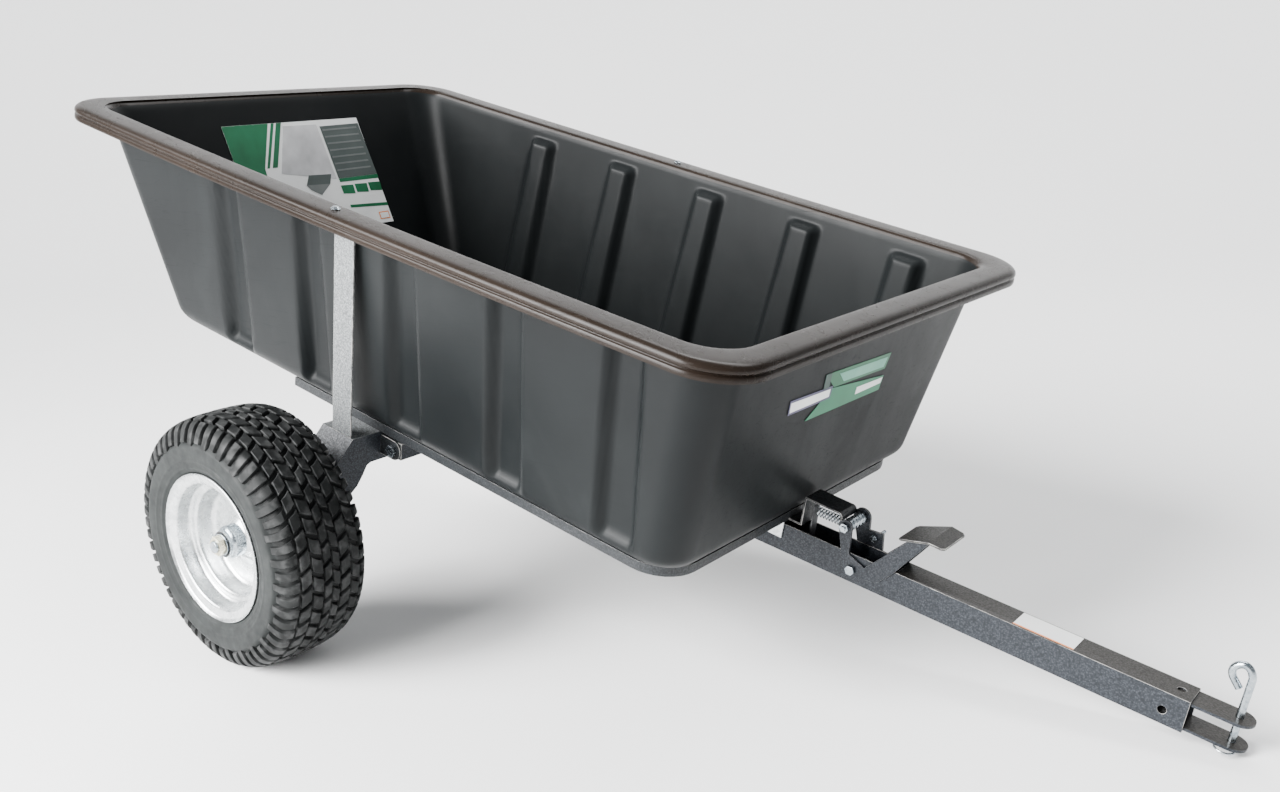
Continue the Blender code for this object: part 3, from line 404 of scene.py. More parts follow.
def spline(points, per):
    """Catmull-Rom through 2-D or 3-D points; a point given twice stays a corner."""
    pts = [Vector(p) for p in points]
    out = []
    for i in range(len(pts) - 1):
        p1, p2 = pts[i], pts[i + 1]
        if (p2 - p1).length < 1e-9:
            continue
        p0 = pts[i - 1] if i else p1
        p3 = pts[i + 2] if i + 2 < len(pts) else p2
        for k in range(per):
            t = k / per
            out.append(0.5 * ((2 * p1) + (p2 - p0) * t + (2 * p0 - 5 * p1 + 4 * p2 - p3) * t * t
                              + (3 * p1 - p0 - 3 * p2 + p3) * t ** 3))
    out.append(pts[-1])
    return out


def grid_faces(rings, n):
    """Quads between closed rings of n points each."""
    faces = []
    for i in range(rings - 1):
        for k in range(n):
            j = (k + 1) % n
            faces.append((i * n + k, i * n + j, (i + 1) * n + j, (i + 1) * n + k))
    return faces


def tube(path, r, n):
    """Round wire along a path with domed ends."""
    pts = [Vector(p) for p in path]
    stations = [(p, r) for p in pts]
    tangents = [(pts[min(len(pts) - 1, i + 1)] - pts[max(0, i - 1)]).normalized() for i in range(len(pts))]
    first, last = tangents[0], tangents[-1]
    head = [(pts[0] + first * r * (1 - math.cos(a)), r * math.sin(a)) for a in (0.25, 0.7, 1.15)]
    tail = [(pts[-1] - last * r * (1 - math.cos(a)), r * math.sin(a)) for a in (1.15, 0.7, 0.25)]
    stations = head + stations[1:-1] + tail
    tangents = [first] * 3 + tangents[1:-1] + [last] * 3
    side = tangents[0].orthogonal().normalized()
    verts = []
    for (p, radius), t in zip(stations, tangents):
        side = (side - t * side.dot(t)).normalized()
        other = t.cross(side)
        for k in range(n):
            a = 2 * math.pi * k / n
            verts.append(p + (side * math.cos(a) + other * math.sin(a)) * radius)
    faces = grid_faces(len(stations), n)
    faces += [tuple(range(n))[::-1], tuple((len(stations) - 1) * n + k for k in range(n))]
    return verts, faces


# ---------------------------------------------------------------- tub
RIM_Z, FLOOR_Z, WALL_T = 0.5185, 0.152, 0.004
LIP_SIDE, LIP_FRONT, LIP_REAR, LIP_DROP = 0.446, 0.755, -0.754, 0.025
WALL_REF_Z = 0.490
RIB_X = (-0.318, -0.100, 0.1205, 0.3395, 0.5555)
RIB_DEPTH, RIB_TOP_Z = 0.018, 0.490
SIDE_N, CORNER_N, END_N = 210, 16, 22


def tub_limits(z):
    d = WALL_REF_Z - z
    return 0.392 - 0.119 * d, 0.703 - 0.140 * d, -0.704 + 0.500 * d


def rib_at(x, z):
    """How far the side wall is pressed inwards by the ribs at this place."""
    down = min(1.0, max(0.0, (RIB_TOP_Z - z) / 0.32))
    fade = smoothstep(RIB_TOP_Z, RIB_TOP_Z - 0.016, z) * smoothstep(FLOOR_Z + 0.004, FLOOR_Z + 0.034, z)
    push = 0.0
    for c in RIB_X:
        u = abs(x - c + 0.004 * down)
        half = 0.0355 + 0.0055 * down
        push = max(push, smoothstep(half, half - 0.0175, u))
    return RIB_DEPTH * push * fade


def tub_ring(z, half, front, rear, radius, rib_inset, bow, sag):
    """One closed ring round the tub; rib_inset is the height the ribs are read at, or None for no ribs."""
    mid, reach = (front + rear) / 2, (front - rear) / 2

    def out(x, y, press=0.0):
        k = max(0.0, 1 - ((x - mid) / reach) ** 2)
        edge = min(1.0, (abs(y) + press) / half)
        return (x, y + math.copysign(bow * k * edge, y), z - sag * k * edge ** 4)

    pts = []
    x0, x1 = rear + radius, front - radius
    for side in (-1, 1):
        run = [x0 + (x1 - x0) * i / SIDE_N for i in range(SIDE_N + 1)]
        if side > 0:
            run.reverse()
        for x in run:
            press = rib_at(x, rib_inset) if rib_inset is not None else 0.0
            pts.append(out(x, side * (half - press), press))
        cx, a0 = (front - radius, -90) if side < 0 else (rear + radius, 90)
        cy, ex = (half - radius), (front if side < 0 else rear)
        for i in range(1, CORNER_N):
            a = math.radians(a0 + 90 * i / CORNER_N)
            pts.append(out(cx + radius * math.cos(a), side * cy + radius * math.sin(a)))
        for i in range(END_N + 1):
            y = (half - radius) * (1 - 2 * i / END_N)
            pts.append(out(ex, side * y))
        for i in range(1, CORNER_N):
            a = math.radians(a0 + 90 + 90 * i / CORNER_N)
            pts.append(out(cx + radius * math.cos(a), -side * cy + radius * math.sin(a)))
    return pts


def build_tub():
    rings = []

    def wall(z, inset, thick=0.0, rib=True):
        half, front, rear = tub_limits(z)
        share = max(0.0, min(1.0, (z - FLOOR_Z) / (RIM_Z - FLOOR_Z)))
        radius = 0.052 + 0.012 * share
        rings.append(tub_ring(z, half - inset - thick, front - inset - thick, rear + inset + thick * 1.12,
                              radius - inset * 0.3 - thick * 0.5, z if rib else None, 0.0055 * share, 0.0))

    def lip(z, half, radius=0.085):
        grow = LIP_SIDE - half
        rings.append(tub_ring(z, half, LIP_FRONT - grow, LIP_REAR + grow, radius - grow * 0.4, None,
                              0.0055, 0.004))

    def skirt(start):
        """The rounded edge between floor and wall as (height, inset) pairs, from the floor outwards."""
        r, out = 0.030, []
        for i in range(9):
            a = math.radians(90 * i / 8)
            out.append((start + r * (1 - math.cos(a)) * 0.95, r * (1 - math.sin(a))))
        return out

    for z, inset in skirt(FLOOR_Z):
        wall(z, inset)
    levels = [0.1885, 0.2] + [0.2 + 0.0225 * i for i in range(1, 12)]
    upper = [0.458, 0.466, 0.471, 0.4745, 0.478, 0.4815, 0.485, 0.488, 0.4905, 0.494]
    for z in levels + upper:
        wall(z, 0.0)
    # underside of the lip
    for z, extra in ((0.5000, 0.0), (0.5060, 0.0006), (0.5100, 0.0022), (0.5125, 0.0046)):
        half, front, rear = tub_limits(z)
        rings.append(tub_ring(z, half + extra, front + extra, rear - extra, 0.066, None, 0.0055, 0.002))
    half, front, rear = tub_limits(0.5135)
    rings.append(tub_ring(0.5135, half + 0.009, front + 0.009, rear - 0.009, 0.068, None, 0.0055, 0.004))
    lip(RIM_Z - 0.0050, LIP_SIDE - 0.0090)
    lip(RIM_Z - 0.0070, LIP_SIDE - 0.0062)
    lip(RIM_Z - LIP_DROP + 0.001, LIP_SIDE - 0.0055)
    # lower flange, a small step, then the rolled edge and the flat top with its slight crown
    for dz, dy in (
            (-0.0250, 0.0048), (-0.0252, 0.0022), (-0.0246, 0.0006), (-0.0225, 0.0), (-0.0170, 0.0002),
            (-0.0160, 0.0012), (-0.0152, 0.0026), (-0.0143, 0.0030), (-0.0134, 0.0024), (-0.0122, 0.0008),
            (-0.0100, 0.0), (-0.0072, 0.0003), (-0.0048, 0.0014), (-0.0028, 0.0032), (-0.0013, 0.0056),
            (-0.0004, 0.0086), (0.0, 0.0130), (0.0001, 0.0220), (-0.0001, 0.0320), (-0.0003, 0.0420)):
        lip(RIM_Z + dz, LIP_SIDE - dy)
    for z, extra in ((RIM_Z - 0.0006, 0.0040), (RIM_Z - 0.0013, 0.0012), (RIM_Z - 0.0030, -0.0010),
                     (RIM_Z - 0.0056, -0.0024), (RIM_Z - 0.0090, -0.0034)):
        half, front, rear = tub_limits(z)
        rings.append(tub_ring(z, half + extra, front + extra, rear - extra, 0.0645, None, 0.0055, 0.004))
    for z in (0.503, 0.497):
        wall(z, 0.0, WALL_T)
    for z in [u + 0.0012 for u in reversed(upper)] + list(reversed(levels)):
        wall(z, 0.0, WALL_T)
    for z, inset in reversed(skirt(FLOOR_Z + WALL_T)):
        wall(z, inset, WALL_T)

    n = len(rings[0])
    verts = [BED @ Vector(p) for ring in rings for p in ring]
    faces = grid_faces(len(rings), n)
    # the lip's top rings take the brown copy of the poly: painted reflection
    tops = [k for k, ring in enumerate(rings) if min(p[2] for p in ring) > RIM_Z - 0.0150]
    indices = [1 if tops[0] + 3 <= f // n < tops[-1] else 0 for f in range(len(faces))] + [0] * (2 * n)
    for ring in (0, len(rings) - 1):
        centre = sum((verts[ring * n + k] for k in range(n)), Vector()) / n
        verts.append(centre)
        faces += [(ring * n + k, ring * n + (k + 1) % n, len(verts) - 1) for k in range(n)]
    tub = mesh_piece("tub_shell", verts, faces, ["poly", "lip_warm_reflection"], "bed", "poly", 50.0, indices)
    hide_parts("tub")


# ---------------------------------------------------------------- wheels
TYRE_SIDE = ((0.2030, 0.0), (0.2027, 0.018), (0.2019, 0.036), (0.1998, 0.051), (0.1958, 0.0625),
             (0.1890, 0.0700), (0.1790, 0.0745), (0.1680, 0.0772), (0.1560, 0.0785), (0.1440, 0.0778),
             (0.1330, 0.0758), (0.1255, 0.0738), (0.1215, 0.0722), (0.1198, 0.0706))
TREAD = 0.0062


def wheel_point(sign, angle, w, r):
    return BED @ Vector((r * math.cos(angle), sign * (TRACK_HALF + w), r * math.sin(angle)))


def side_curve():
    """Outer tread surface as (arc length, w, r, normal) samples from the crown to the bead."""
    pts = spline([(w, r) for r, w in TYRE_SIDE], 6)
    out, s = [], 0.0
    for i, p in enumerate(pts):
        if i:
            s += (p - pts[i - 1]).length
        a, b = pts[max(0, i - 1)], pts[min(len(pts) - 1, i + 1)]
        t = (b - a).normalized()
        out.append((s, p, Vector((-t.y, t.x))))
    return out


CURVE = side_curve()


def on_curve(s, depth):
    """Point (w, r) at arc length s from the crown, depth below the tread; negative s is the other side."""
    flip = -1 if s < 0 else 1
    q = abs(s)
    for (s0, p0, n0), (s1, p1, n1) in zip(CURVE, CURVE[1:]):
        if q <= s1:
            t = (q - s0) / (s1 - s0)
            p = p0.lerp(p1, t) - n0.lerp(n1, t).normalized() * depth
            return flip * p.x, p.y
    p = CURVE[-1][1]
    return flip * p.x, p.y


def block(verts, faces, sign, outline, depth):
    """One tread block: outline is a list of (angle, s) corners in order; chamfered top, drafted sides."""
    ca = sum(a for a, s in outline) / len(outline)
    cs = sum(s for a, s in outline) / len(outline)
    base = len(verts)
    levels = ((depth + 0.0015, 1.10), (0.0009, 1.0), (0.0, 0.90))
    for d, grow in levels:
        for a, s in outline:
            w, r = on_curve(cs + (s - cs) * grow, d)
            verts.append(wheel_point(sign, ca + (a - ca) * grow, w, r))
    n = len(outline)
    for lv in range(2):
        for k in range(n):
            j = (k + 1) % n
            low, high = base + lv * n, base + (lv + 1) * n
            faces.append((low + k, low + j, high + j, high + k))
    top = base + 2 * n
    half = n // 2
    # the top is a strip between the outline's two long sides
    for k in range(half - 1):
        faces.append((top + k, top + k + 1, top + n - 2 - k, top + n - 1 - k))
    bot = base
    for k in range(half - 1):
        faces.append((bot + k, bot + n - 1 - k, bot + n - 2 - k, bot + k + 1))


def tread_blocks(sign):
    verts, faces = [], []
    shoulder, rows = 56, 42
    pitch = 2 * math.pi / shoulder
    for side in (-1, 1):
        for i in range(shoulder):
            a0 = pitch * (i + (0.5 if side > 0 else 0.0))
            stations = (0.0560, 0.0660, 0.0760, 0.0880, 0.1010)
            if i % 2:
                stations = (0.0575, 0.0660, 0.0750, 0.0840, 0.0950)
            left, right = [], []
            for k, s in enumerate(stations):
                lean = side * pitch * (0.42 - 0.18 * k + 0.035 * k * k)
                width = pitch * (0.33 - 0.012 * k)
                left.append((a0 + lean - width, side * s))
                right.append((a0 + lean + width, side * s))
            block(verts, faces, sign, left + right[::-1], TREAD * 0.8)
    pitch = 2 * math.pi / rows
    for row, (s0, s1, lean, shift) in enumerate((
            (-0.0525, -0.0365, 0.34, 0.50), (-0.0335, -0.0165, -0.30, 0.10), (-0.0135, -0.0012, 0.26, 0.60),
            (0.0012, 0.0135, -0.26, 0.05), (0.0165, 0.0335, 0.30, 0.55), (0.0365, 0.0525, -0.34, 0.0))):
        for i in range(rows):
            a0 = pitch * (i + shift)
            mid = (s0 + s1) / 2
            left = [(a0 - pitch * 0.36 - lean * pitch * 0.5, s0), (a0 - pitch * 0.40, mid),
                    (a0 - pitch * 0.36 + lean * pitch * 0.5, s1)]
            right = [(a0 + pitch * 0.36 - lean * pitch * 0.5, s0), (a0 + pitch * 0.32, mid),
                     (a0 + pitch * 0.36 + lean * pitch * 0.5, s1)]
            block(verts, faces, sign, left + right[::-1], TREAD)
    return verts, faces


def lathe(sign, profile, segs):
    """Turn a closed (w, r) profile round the axle."""
    verts, faces, n = [], [], len(profile)
    for i in range(segs):
        a = 2 * math.pi * i / segs
        verts += [wheel_point(sign, a, w, r) for w, r in profile]
    for i in range(segs):
        j = (i + 1) % segs
        for k in range(n):
            m = (k + 1) % n
            faces.append((i * n + k, i * n + m, j * n + m, j * n + k))
    return verts, faces


def carcass():
    """Tyre casing below the tread, both sides, closed round the beads."""
    half = []
    for s, p, nrm in CURVE:
        sink = TREAD * (1 - smoothstep(0.092, 0.104, s))
        ridge = 0.0007 * (smoothstep(0.1215, 0.1225, s) - smoothstep(0.1245, 0.1255, s))
        ridge += 0.0008 * (smoothstep(0.1335, 0.1345, s) - smoothstep(0.1375, 0.1385, s))
        half.append(p - nrm * (sink - ridge))
    bead = [Vector(p) for p in ((0.0674, 0.1152), (0.0655, 0.1068), (0.0560, 0.1068), (0.0600, 0.1250))]
    cavity = [(0.0600, 0.1250), (0.0690, 0.1450), (0.0680, 0.1700), (0.0550, 0.1860), (0.0, 0.1920)]
    inner = spline(cavity, 4)[1:]
    right = [(v.x, v.y) for v in half + bead + inner]
    left = [(-w, r) for w, r in right[1:-1]]
    return right + left[::-1]


def build_wheel(name, sign):
    body = "wheel_" + name
    casing = carcass()
    verts, faces = lathe(sign, casing, 128)
    # sidewall faces take the lighter copy of the rubber: painted sheen
    wall = [abs(w) > 0.0700 and r < 0.176 for w, r in casing]
    indices = [int(wall[f % len(casing)]) for f in range(len(faces))]
    more, mfaces = tread_blocks(sign)
    base = len(verts)
    verts += more
    faces += [tuple(i + base for i in f) for f in mfaces]
    indices += [0] * len(mfaces)
    tyre = mesh_piece("turf_tyre_" + name, verts, faces, ["tyre", "tyre_sidewall_sheen"], body, "tyre", 34.0, indices)
    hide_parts("tyre_" + name)

    face = spline([(0.0736, 0.1172), (0.0712, 0.1150), (0.0704, 0.1120), (0.0694, 0.1078), (0.0686, 0.1040),
                   (0.0668, 0.1012), (0.0630, 0.1002), (0.0520, 0.0996), (0.0470, 0.0986), (0.0442, 0.0955),
                   (0.0428, 0.0905), (0.0410, 0.0868), (0.0370, 0.0852), (0.0230, 0.0842), (0.0170, 0.0826),
                   (0.0130, 0.0785), (0.0112, 0.0725), (0.0098, 0.0620), (0.0086, 0.0530), (0.0088, 0.0475),
                   (0.0120, 0.0425), (0.0165, 0.0370), (0.0215, 0.0315), (0.0252, 0.0275),
                   (0.0262, 0.0264)], 3)
    back = [(0.0238, 0.0264), (0.0190, 0.0310), (0.0120, 0.0380), (0.0062, 0.0445), (0.0058, 0.0530),
            (0.0075, 0.0700), (0.0085, 0.0785), (0.0060, 0.0835), (-0.0400, 0.0850), (-0.0430, 0.0920),
            (-0.0480, 0.0990), (-0.0660, 0.1005), (-0.0686, 0.1040), (-0.0704, 0.1120), (-0.0736, 0.1172)]
    rolled = [(-0.0746, 0.1184), (-0.0738, 0.1193), (-0.0722, 0.1192), (-0.0682, 0.1150), (-0.0662, 0.1060),
              (-0.0640, 0.1042), (-0.0460, 0.1018), (-0.0380, 0.0878), (0.0380, 0.0878), (0.0460, 0.1018),
              (0.0640, 0.1042), (0.0662, 0.1060), (0.0682, 0.1150), (0.0716, 0.1190), (0.0730, 0.1195),
              (0.0745, 0.1190), (0.0749, 0.1182)]
    profile = [(v.x, v.y) for v in face] + back + rolled
    verts, faces = lathe(sign, profile, 96)
    rim = mesh_piece("dished_rim_" + name, verts, faces, "galvanised", body, "galvanised", 42.0)
    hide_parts("rim_" + name)

    # hub barrel with a chamfered bearing seat and a dark seal ring
    hub = [(-0.0520, 0.0099), (-0.0520, 0.0192), (-0.0512, 0.0200), (-0.0400, 0.0200), (-0.0380, 0.0254),
           (-0.0372, 0.0260), (0.0420, 0.0260), (0.0440, 0.0248), (0.0468, 0.0217), (0.0512, 0.0215),
           (0.0520, 0.0212), (0.0520, 0.0206), (0.0514, 0.0202), (0.0490, 0.0202), (0.0490, 0.0174),
           (0.0520, 0.0174), (0.0520, 0.0099)]
    verts, faces = lathe(sign, hub, 72)
    piece = mesh_piece("hub_barrel_" + name, verts, faces, "zinc", body, "zinc", 35.0)
    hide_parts("hub_" + name)
    seal = [(0.0492, 0.0176), (0.0492, 0.0200), (0.0510, 0.0200), (0.0514, 0.0192), (0.0514, 0.0184),
            (0.0510, 0.0176)]
    verts, faces = lathe(sign, seal, 72)
    mesh_piece("bearing_seal_" + name, verts, faces, "rubber", body, "rubber", 35.0)


# ---------------------------------------------------------------- labels
def panel(name, place, corners, mat, body, slot, lift, thick=0.0004, steps=12):
    """A thin label panel: a quad laid on a surface given by place(u, v), as a closed thin slab."""
    verts, faces = [], []
    a, b, c, d = (Vector(p) for p in corners)
    for level in (lift, lift + thick):
        for i in range(steps + 1):
            for j in range(steps + 1):
                u, v = i / steps, j / steps
                p = a.lerp(b, u).lerp(d.lerp(c, u), v)
                verts.append(place(p.x, p.y, level))
    m = steps + 1
    for lv in (0, 1):
        for i in range(steps):
            for j in range(steps):
                q = [lv * m * m + i * m + j, lv * m * m + i * m + j + 1,
                     lv * m * m + (i + 1) * m + j + 1, lv * m * m + (i + 1) * m + j]
                faces.append(tuple(q))
    ring = [(i, 0) for i in range(m)] + [(steps, j) for j in range(1, m)]
    ring += [(i, steps) for i in range(steps - 1, -1, -1)] + [(0, j) for j in range(steps - 1, 0, -1)]
    for k, (i, j) in enumerate(ring):
        p, q = ring[(k + 1) % len(ring)]
        faces.append((i * m + j, p * m + q, m * m + p * m + q, m * m + i * m + j))
    return mesh_piece(name, verts, faces, mat, body, slot, 40.0)


def build_labels():
    """Panels without lettering, in the places and colours of the real labels.

    Each has a name, four corners (across, up) on its wall, a look and a lift off the wall.
    """
    def front_wall(y, z, lift):
        _, front, _ = tub_limits(z)
        return BED @ Vector((front + lift, y, z))

    def rear_wall(y, z, lift):
        _, _, rear = tub_limits(z)
        return BED @ Vector((rear + WALL_T * 1.12 + lift, y, z))

    def bar_top(x, y, lift):
        return TONGUE @ Vector((x, y, -0.003 + lift))

    front = (
        ("front_green_top", [(-0.095, 0.419), (0.106, 0.411), (0.103, 0.383), (-0.055, 0.389)],
         "label_green", 0.0004),
        ("front_green_low", [(-0.062, 0.389), (0.1085, 0.370), (0.1090, 0.344), (-0.113, 0.347)],
         "label_mid", 0.0006),
        ("front_shade", [(-0.095, 0.419), (-0.078, 0.4185), (-0.072, 0.3915), (-0.088, 0.3915)],
         "label_deep", 0.0008),
        ("front_block", [(-0.052, 0.411), (0.098, 0.405), (0.095, 0.388), (-0.030, 0.393)],
         "label_mint", 0.0008),
        ("front_white", [(-0.178, 0.397), (-0.061, 0.393), (-0.058, 0.3715), (-0.1725, 0.372)],
         "label_navy", 0.0008),
        ("front_pale", [(-0.1745, 0.393), (-0.066, 0.389), (-0.0635, 0.3755), (-0.170, 0.376)],
         "label_white", 0.0012),
        ("front_strip", [(0.024, 0.3695), (0.106, 0.367), (0.1045, 0.357), (0.026, 0.3565)],
         "label_white", 0.0010))
    for name, corners, mat, lift in front:
        panel(name, front_wall, corners, mat, "bed", "poly", lift)
    card = [
        ("card_base", [(-0.151, 0.4645), (0.183, 0.4645), (0.216, 0.257), (-0.124, 0.257)],
         "label_white", 0.0006),
        ("card_green", [(-0.151, 0.4645), (-0.0435, 0.4645), (-0.076, 0.384), (-0.1405, 0.384)],
         "label_green", 0.0012),
        ("card_low", [(-0.1405, 0.384), (-0.076, 0.384), (-0.070, 0.257), (-0.124, 0.257)],
         "label_green", 0.0012),
        ("card_edge_1", [(-0.0360, 0.4645), (-0.0290, 0.4645), (-0.0645, 0.384), (-0.0705, 0.384)],
         "label_green", 0.0012),
        ("card_edge_2", [(-0.0235, 0.4645), (-0.0115, 0.4645), (-0.0455, 0.384), (-0.0575, 0.384)],
         "label_green", 0.0012),
        ("card_photo", [(-0.009, 0.458), (0.074, 0.457), (0.092, 0.352), (-0.040, 0.372)],
         "label_grey", 0.0012),
        ("card_panel", [(0.0815, 0.453), (0.183, 0.454), (0.202, 0.353), (0.0975, 0.352)],
         "label_dark", 0.0012),
        ("card_line_1", [(0.0980, 0.3515), (0.2025, 0.3525), (0.2030, 0.3450), (0.0992, 0.3450)],
         "label_green", 0.0012),
        ("card_line_2", [(0.1100, 0.3000), (0.2105, 0.2960), (0.2115, 0.2900), (0.1115, 0.2945)],
         "label_green", 0.0012),
        ("card_tub_back", [(0.024, 0.3640), (0.0810, 0.3620), (0.0725, 0.3440), (0.0130, 0.3460)],
         "label_dark", 0.0016),
        ("card_tub_side", [(0.0130, 0.3460), (0.0725, 0.3440), (0.0450, 0.3250), (0.0220, 0.3360)],
         "label_soft", 0.0016),
        ("card_mark", [(0.181, 0.279), (0.208, 0.279), (0.2095, 0.2645), (0.182, 0.2645)],
         "label_orange", 0.0012),
        ("card_mark_in", [(0.1835, 0.277), (0.2055, 0.277), (0.2070, 0.2665), (0.1845, 0.2665)],
         "label_white", 0.0016)]
    for i in range(3):
        y = 0.0985 + 0.0365 * i
        card.append(("card_block_%d" % (i + 1), [(y, 0.3385), (y + 0.0325, 0.3375), (y + 0.0335, 0.3205),
                                                 (y + 0.0025, 0.3225)], "label_green", 0.0012))
    for i in range(7):
        top = 0.447 - 0.0130 * i
        y = 0.0865 + 0.0021 * i
        card.append(("card_rule_%d" % (i + 1), [(y, top), (y + 0.090, top + 0.001), (y + 0.0905, top - 0.002),
                                                (y + 0.0005, top - 0.003)], "label_soft", 0.0016))
    for name, corners, mat, lift in card:
        panel(name, rear_wall, corners, mat, "bed", "poly", lift)
    panel("bar_label", bar_top, [(0.951, -0.0205), (1.039, -0.0205), (1.039, 0.0205), (0.951, 0.0205)],
          "label_white", "tongue", "hammertone", 0.0003)
    panel("bar_label_edge", bar_top, [(0.951, -0.0215), (1.039, -0.0215), (1.039, -0.0195), (0.951, -0.0195)],
          "label_orange", "tongue", "hammertone", 0.0009)


# ---------------------------------------------------------------- steel and hardware
def build_steel():
    for look, top, nodes in (
            ("hammertone", None, (("tongue_crossbar", 0.0016), ("tongue_gusset_left", 0.0008),
                                  ("tongue_gusset_right", 0.0008), ("latch_plate_left", 0.0007),
                                  ("latch_plate_right", 0.0007))),
            # the axle beam's top faces take the lighter copy: painted light
            ("hammertone", "hammertone_lit_copy", (("axle_beam", 0.0018),)),
            # the drawbar and clevis tops take the brown copy: painted reflection
            ("hammertone", "hammertone_warm_reflection", (("drawbar", 0.0016), ("hitch_clevis", 0.0009))),
            # the straps are all in the lighter copy: painted light where the side light falls on them
            ("hammertone_lit_copy", None, (("strap_left", 0.0010), ("strap_right", 0.0010))),
            # the rail, hinge ears and catch bracket under the tub are in the darker copy: painted shade
            ("hammertone_shaded_copy", None, (("bed_rail", 0.0012), ("hinge_ear_left", 0.0008),
                                       ("hinge_ear_right", 0.0008), ("catch_bracket", 0.0008))),
            # the pedal pad is all in the brown copy: painted reflection
            ("hammertone_warm_reflection", None, (("pedal_pad", 0.0009),))):
        for node, width in nodes:
            dress(node, look, width, "hammertone", top, "worn_edge")
    # the guide bracket's top, under the tub's front, takes the darker copy: painted shade
    dress("guide_bracket", "galvanised", 0.0006, top="hammertone_shaded_copy")
    dress("spring_anchor", "dark_steel", 0.0005)
    for side, _ in SIDES:
        dress("axle_nut_" + side, "yellow_zinc", 0.0007, "zinc")
    hardware = ["axle_washer", "hinge_bolt", "spindle", "strap_bolt", "wheel_spacer"]
    for node in [h + "_" + side for h in hardware for side, _ in SIDES]:
        dress(node, "zinc", 0.0007)
    for node in ("floor_bolt_1", "floor_bolt_2", "floor_bolt_3", "floor_bolt_4", "guide_bolt",
                 "lever_bolt", "roller_bolt", "stop_bolt"):
        dress(node, "zinc", 0.0005)
    for side, _ in SIDES:
        dress("valve_" + side, "rubber", 0.0004)


def build_wire():
    """Hitch pin with its looped handle, the ring clip and the latch spring as smooth wire."""
    pin_r = 0.005
    path = [(0, 0, -0.058), (0, 0, -0.02), (0, 0, 0.02), (0, 0, 0.045), (-0.0006, 0, 0.0535),
            (-0.0048, 0, 0.0618), (-0.0115, 0, 0.0660), (-0.0188, 0, 0.0640), (-0.0240, 0, 0.0580),
            (-0.0250, 0, 0.0515), (-0.0225, 0, 0.0450), (-0.0170, 0, 0.0385), (-0.0110, 0, 0.0318)]
    pts = [TONGUE @ (p + Vector((PIN_X, 0, 0))) for p in spline(path, 8)]
    pin = mesh_piece("looped_pin", *tube(pts, pin_r, 32), "zinc", "hitch_pin", "zinc", 60.0)
    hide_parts("hitch_pin")

    turn = math.radians(200)
    d = Vector((math.cos(turn), math.sin(turn), 0))
    side, ring_r, wire_r = Vector((-d.y, d.x, 0)), 0.0125, 0.0016
    leg = [d * w for w in (-0.0150, -0.010, -0.005, 0.0, 0.004, 0.0075)]
    centre = d * 0.0085 + side * ring_r
    ring = [centre - side * ring_r * math.cos(a) + d * ring_r * math.sin(a)
            for a in (math.radians(10 * i) for i in range(0, 29))]
    pts = [TONGUE @ (p + Vector((PIN_X, 0, -0.0494))) for p in leg + ring]
    wire = tube(spline(pts, 2), wire_r, 16)
    clip = mesh_piece("ring_clip", *wire, "spring_steel", "hitch_clip", "spring_steel", 60.0)
    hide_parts("hitch_clip")

    roller_lo, roller_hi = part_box("latch_roller")
    to_tongue = TONGUE.inverted()
    mid = to_tongue @ ((Vector(roller_lo) + Vector(roller_hi)) / 2)
    profile = [(-0.0237, 0.0045)]
    for i in range(5):
        w = -0.0237 + 0.00948 * i
        profile += [(w, 0.0088), (w + 0.0007, 0.0098), (w + 0.0068, 0.0098), (w + 0.0075, 0.0088),
                    (w + 0.0094, 0.0082)]
    profile[-1] = (0.0237, 0.0088)
    profile.append((0.0237, 0.0045))
    verts, faces, n = [], [], len(profile)
    for i in range(48):
        a = 2 * math.pi * i / 48
        verts += [TONGUE @ Vector((mid.x + q * math.cos(a), w, mid.z + q * math.sin(a))) for w, q in profile]
        for k in range(n):
            m, j = (k + 1) % n, (i + 1) % 48
            faces.append((i * n + k, i * n + m, j * n + m, j * n + k))
    roller = mesh_piece("ringed_roller", verts, faces, "zinc", "latch", "zinc", 35.0)
    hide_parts("latch_roller")

    x0, x1 = 0.6108, mid.x - 0.010 - 0.0016
    y, z, r, turns = 0.0, mid.z - 0.0072, 0.0068, 10
    pts = []
    for i in range(turns * 24 + 1):
        a = 2 * math.pi * i / 24
        x = x0 + (x1 - x0) * i / (turns * 24)
        pts.append(TONGUE @ Vector((x, y + r * math.sin(a), z + r * math.cos(a))))
    coil = mesh_piece("coil_spring", *tube(pts, 0.0013, 8), "spring_steel", None, "spring_steel", 60.0)
    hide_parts("latch_spring")
    # the front half stretches, so that the coil's end follows the roller
    half, near_end = x0 + 0.5 * (x1 - x0), x0 + 0.98 * (x1 - x0)
    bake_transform(coil, "tongue", "latch", TONGUE @ Vector((half, y, z)), TONGUE @ Vector((near_end, y, z)))


# ---------------------------------------------------------------- stage, light, camera
SKY_LIGHT, SKY_SEEN = 0.5, 1.9


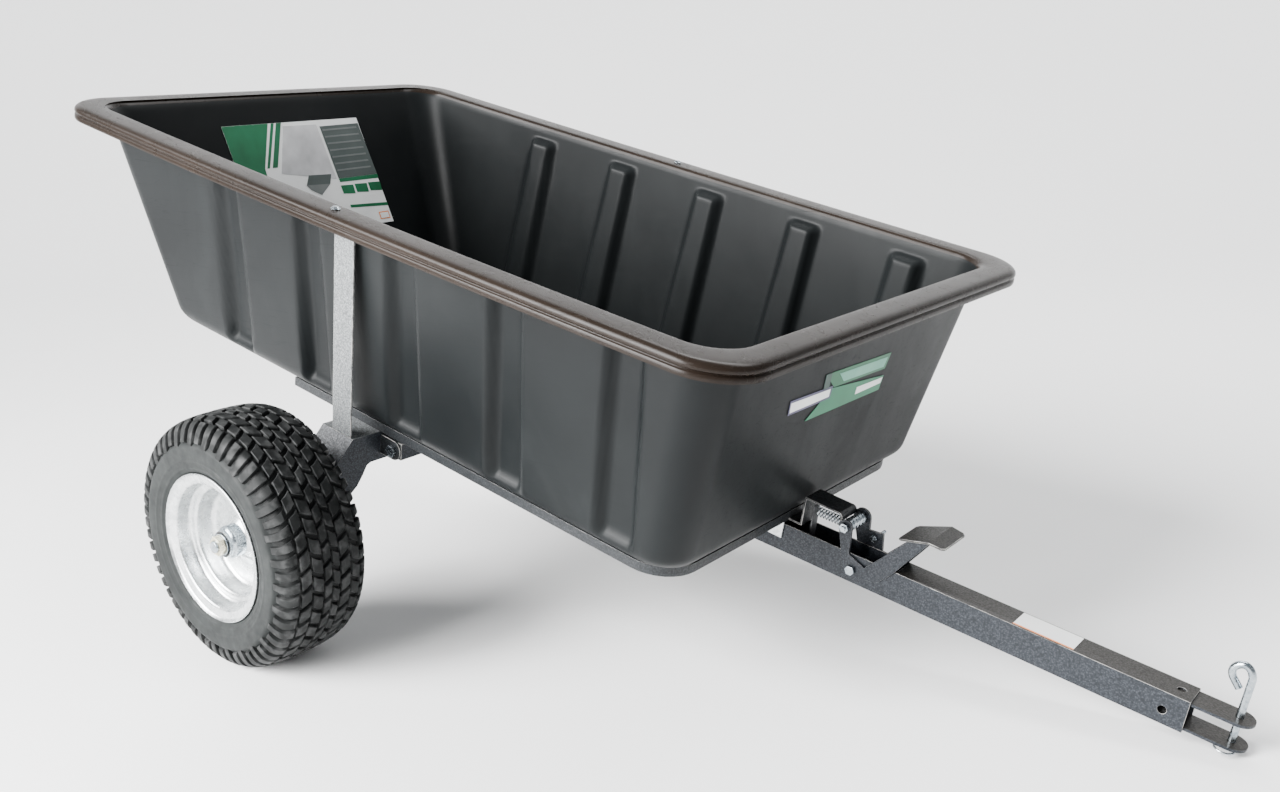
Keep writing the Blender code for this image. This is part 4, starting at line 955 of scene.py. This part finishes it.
def build_stage():
    """A pale floor that sweeps up behind the cart, a soft sun, a near key, a top light and an even world.

    The world shows itself to the camera at SKY_SEEN, but lights the cart at SKY_LIGHT.
    """
    mat = Mat("pale_floor", (0.93, 0.93, 0.93), rough=0.8, Specular_IOR_Level=0.2)
    mat.colour(mat.ramp(mat.noise(0.6, 2.0), [(0.3, (0.925, 0.925, 0.925)), (0.7, (0.940, 0.940, 0.938))]))
    ahead = Vector((-0.585, 0.811, 0.0))
    across = Vector((0.811, 0.585, 0.0))
    profile = [(-14.0, 0.0), (3.5, 0.0)]
    for degrees in range(3, 91, 3):
        a = math.radians(degrees)
        profile.append((3.5 + 6.0 * math.sin(a), 6.0 - 6.0 * math.cos(a)))
    profile.append((9.5, 16.0))
    verts = [ahead * d + across * w + Vector((0, 0, h)) for d, h in profile for w in (-16.0, 16.0)]
    faces = [(2 * i, 2 * i + 1, 2 * i + 3, 2 * i + 2) for i in range(len(profile) - 1)]
    mesh = bpy.data.meshes.new("floor")
    mesh.from_pydata(verts, [], faces)
    mesh.materials.append(mat.mat)
    mesh.shade_smooth()
    floor = bpy.data.objects.new("floor", mesh)
    bpy.context.scene.collection.objects.link(floor)

    world = bpy.data.worlds.new("studio")
    world.use_nodes = True
    sky = world.node_tree.nodes["Background"]
    sky.inputs["Color"].default_value = (0.94, 0.97, 1.0, 1.0)
    path = world.node_tree.nodes.new("ShaderNodeLightPath")
    seen = world.node_tree.nodes.new("ShaderNodeMapRange")
    seen.inputs["To Min"].default_value = SKY_LIGHT
    seen.inputs["To Max"].default_value = SKY_SEEN
    world.node_tree.links.new(path.outputs["Is Camera Ray"], seen.inputs["Value"])
    world.node_tree.links.new(seen.outputs["Result"], sky.inputs["Strength"])
    bpy.context.scene.world = world

    def place(name, kind, loc, aim, energy, **settings):
        light = bpy.data.lights.new(name, kind)
        light.energy = energy
        for key, value in settings.items():
            setattr(light, key, value)
        obj = bpy.data.objects.new(name, light)
        bpy.context.scene.collection.objects.link(obj)
        obj.location = loc
        obj.rotation_mode = "QUATERNION"
        obj.rotation_quaternion = (Vector(aim) - Vector(loc)).to_track_quat("-Z", "Y")

    place("sky", "SUN", (-4.0, -6.0, 4.8), (0, 0, 0), 8.5, angle=math.radians(35))
    place("key", "AREA", (-0.7, -2.7, 1.2), (-0.1, -0.3, 0.3), 280.0, shape="SQUARE", size=1.7)
    place("top", "AREA", (0.2, 1.6, 3.4), (0, 0, 0.4), 90.0, shape="RECTANGLE", size=3.0, size_y=0.8)


def build_camera():
    turn = Matrix((CAMERA_RIGHT, -CAMERA_DOWN, -CAMERA_AHEAD)).transposed().to_4x4()
    cam = bpy.data.objects.new("camera", bpy.data.cameras.new("camera"))
    bpy.context.scene.collection.objects.link(cam)
    cam.data.sensor_width = SENSOR
    cam.data.lens = SENSOR * FOCAL / IMAGE_WIDTH
    cam.data.clip_start, cam.data.clip_end = 0.05, 100.0
    cam.matrix_world = BED @ Matrix.Translation(CAMERA_AT) @ turn
    bpy.context.scene.camera = cam


build_tub()
for side_name, side_sign in SIDES:
    build_wheel(side_name, side_sign)
build_labels()
build_steel()
build_wire()
build_stage()
build_camera()
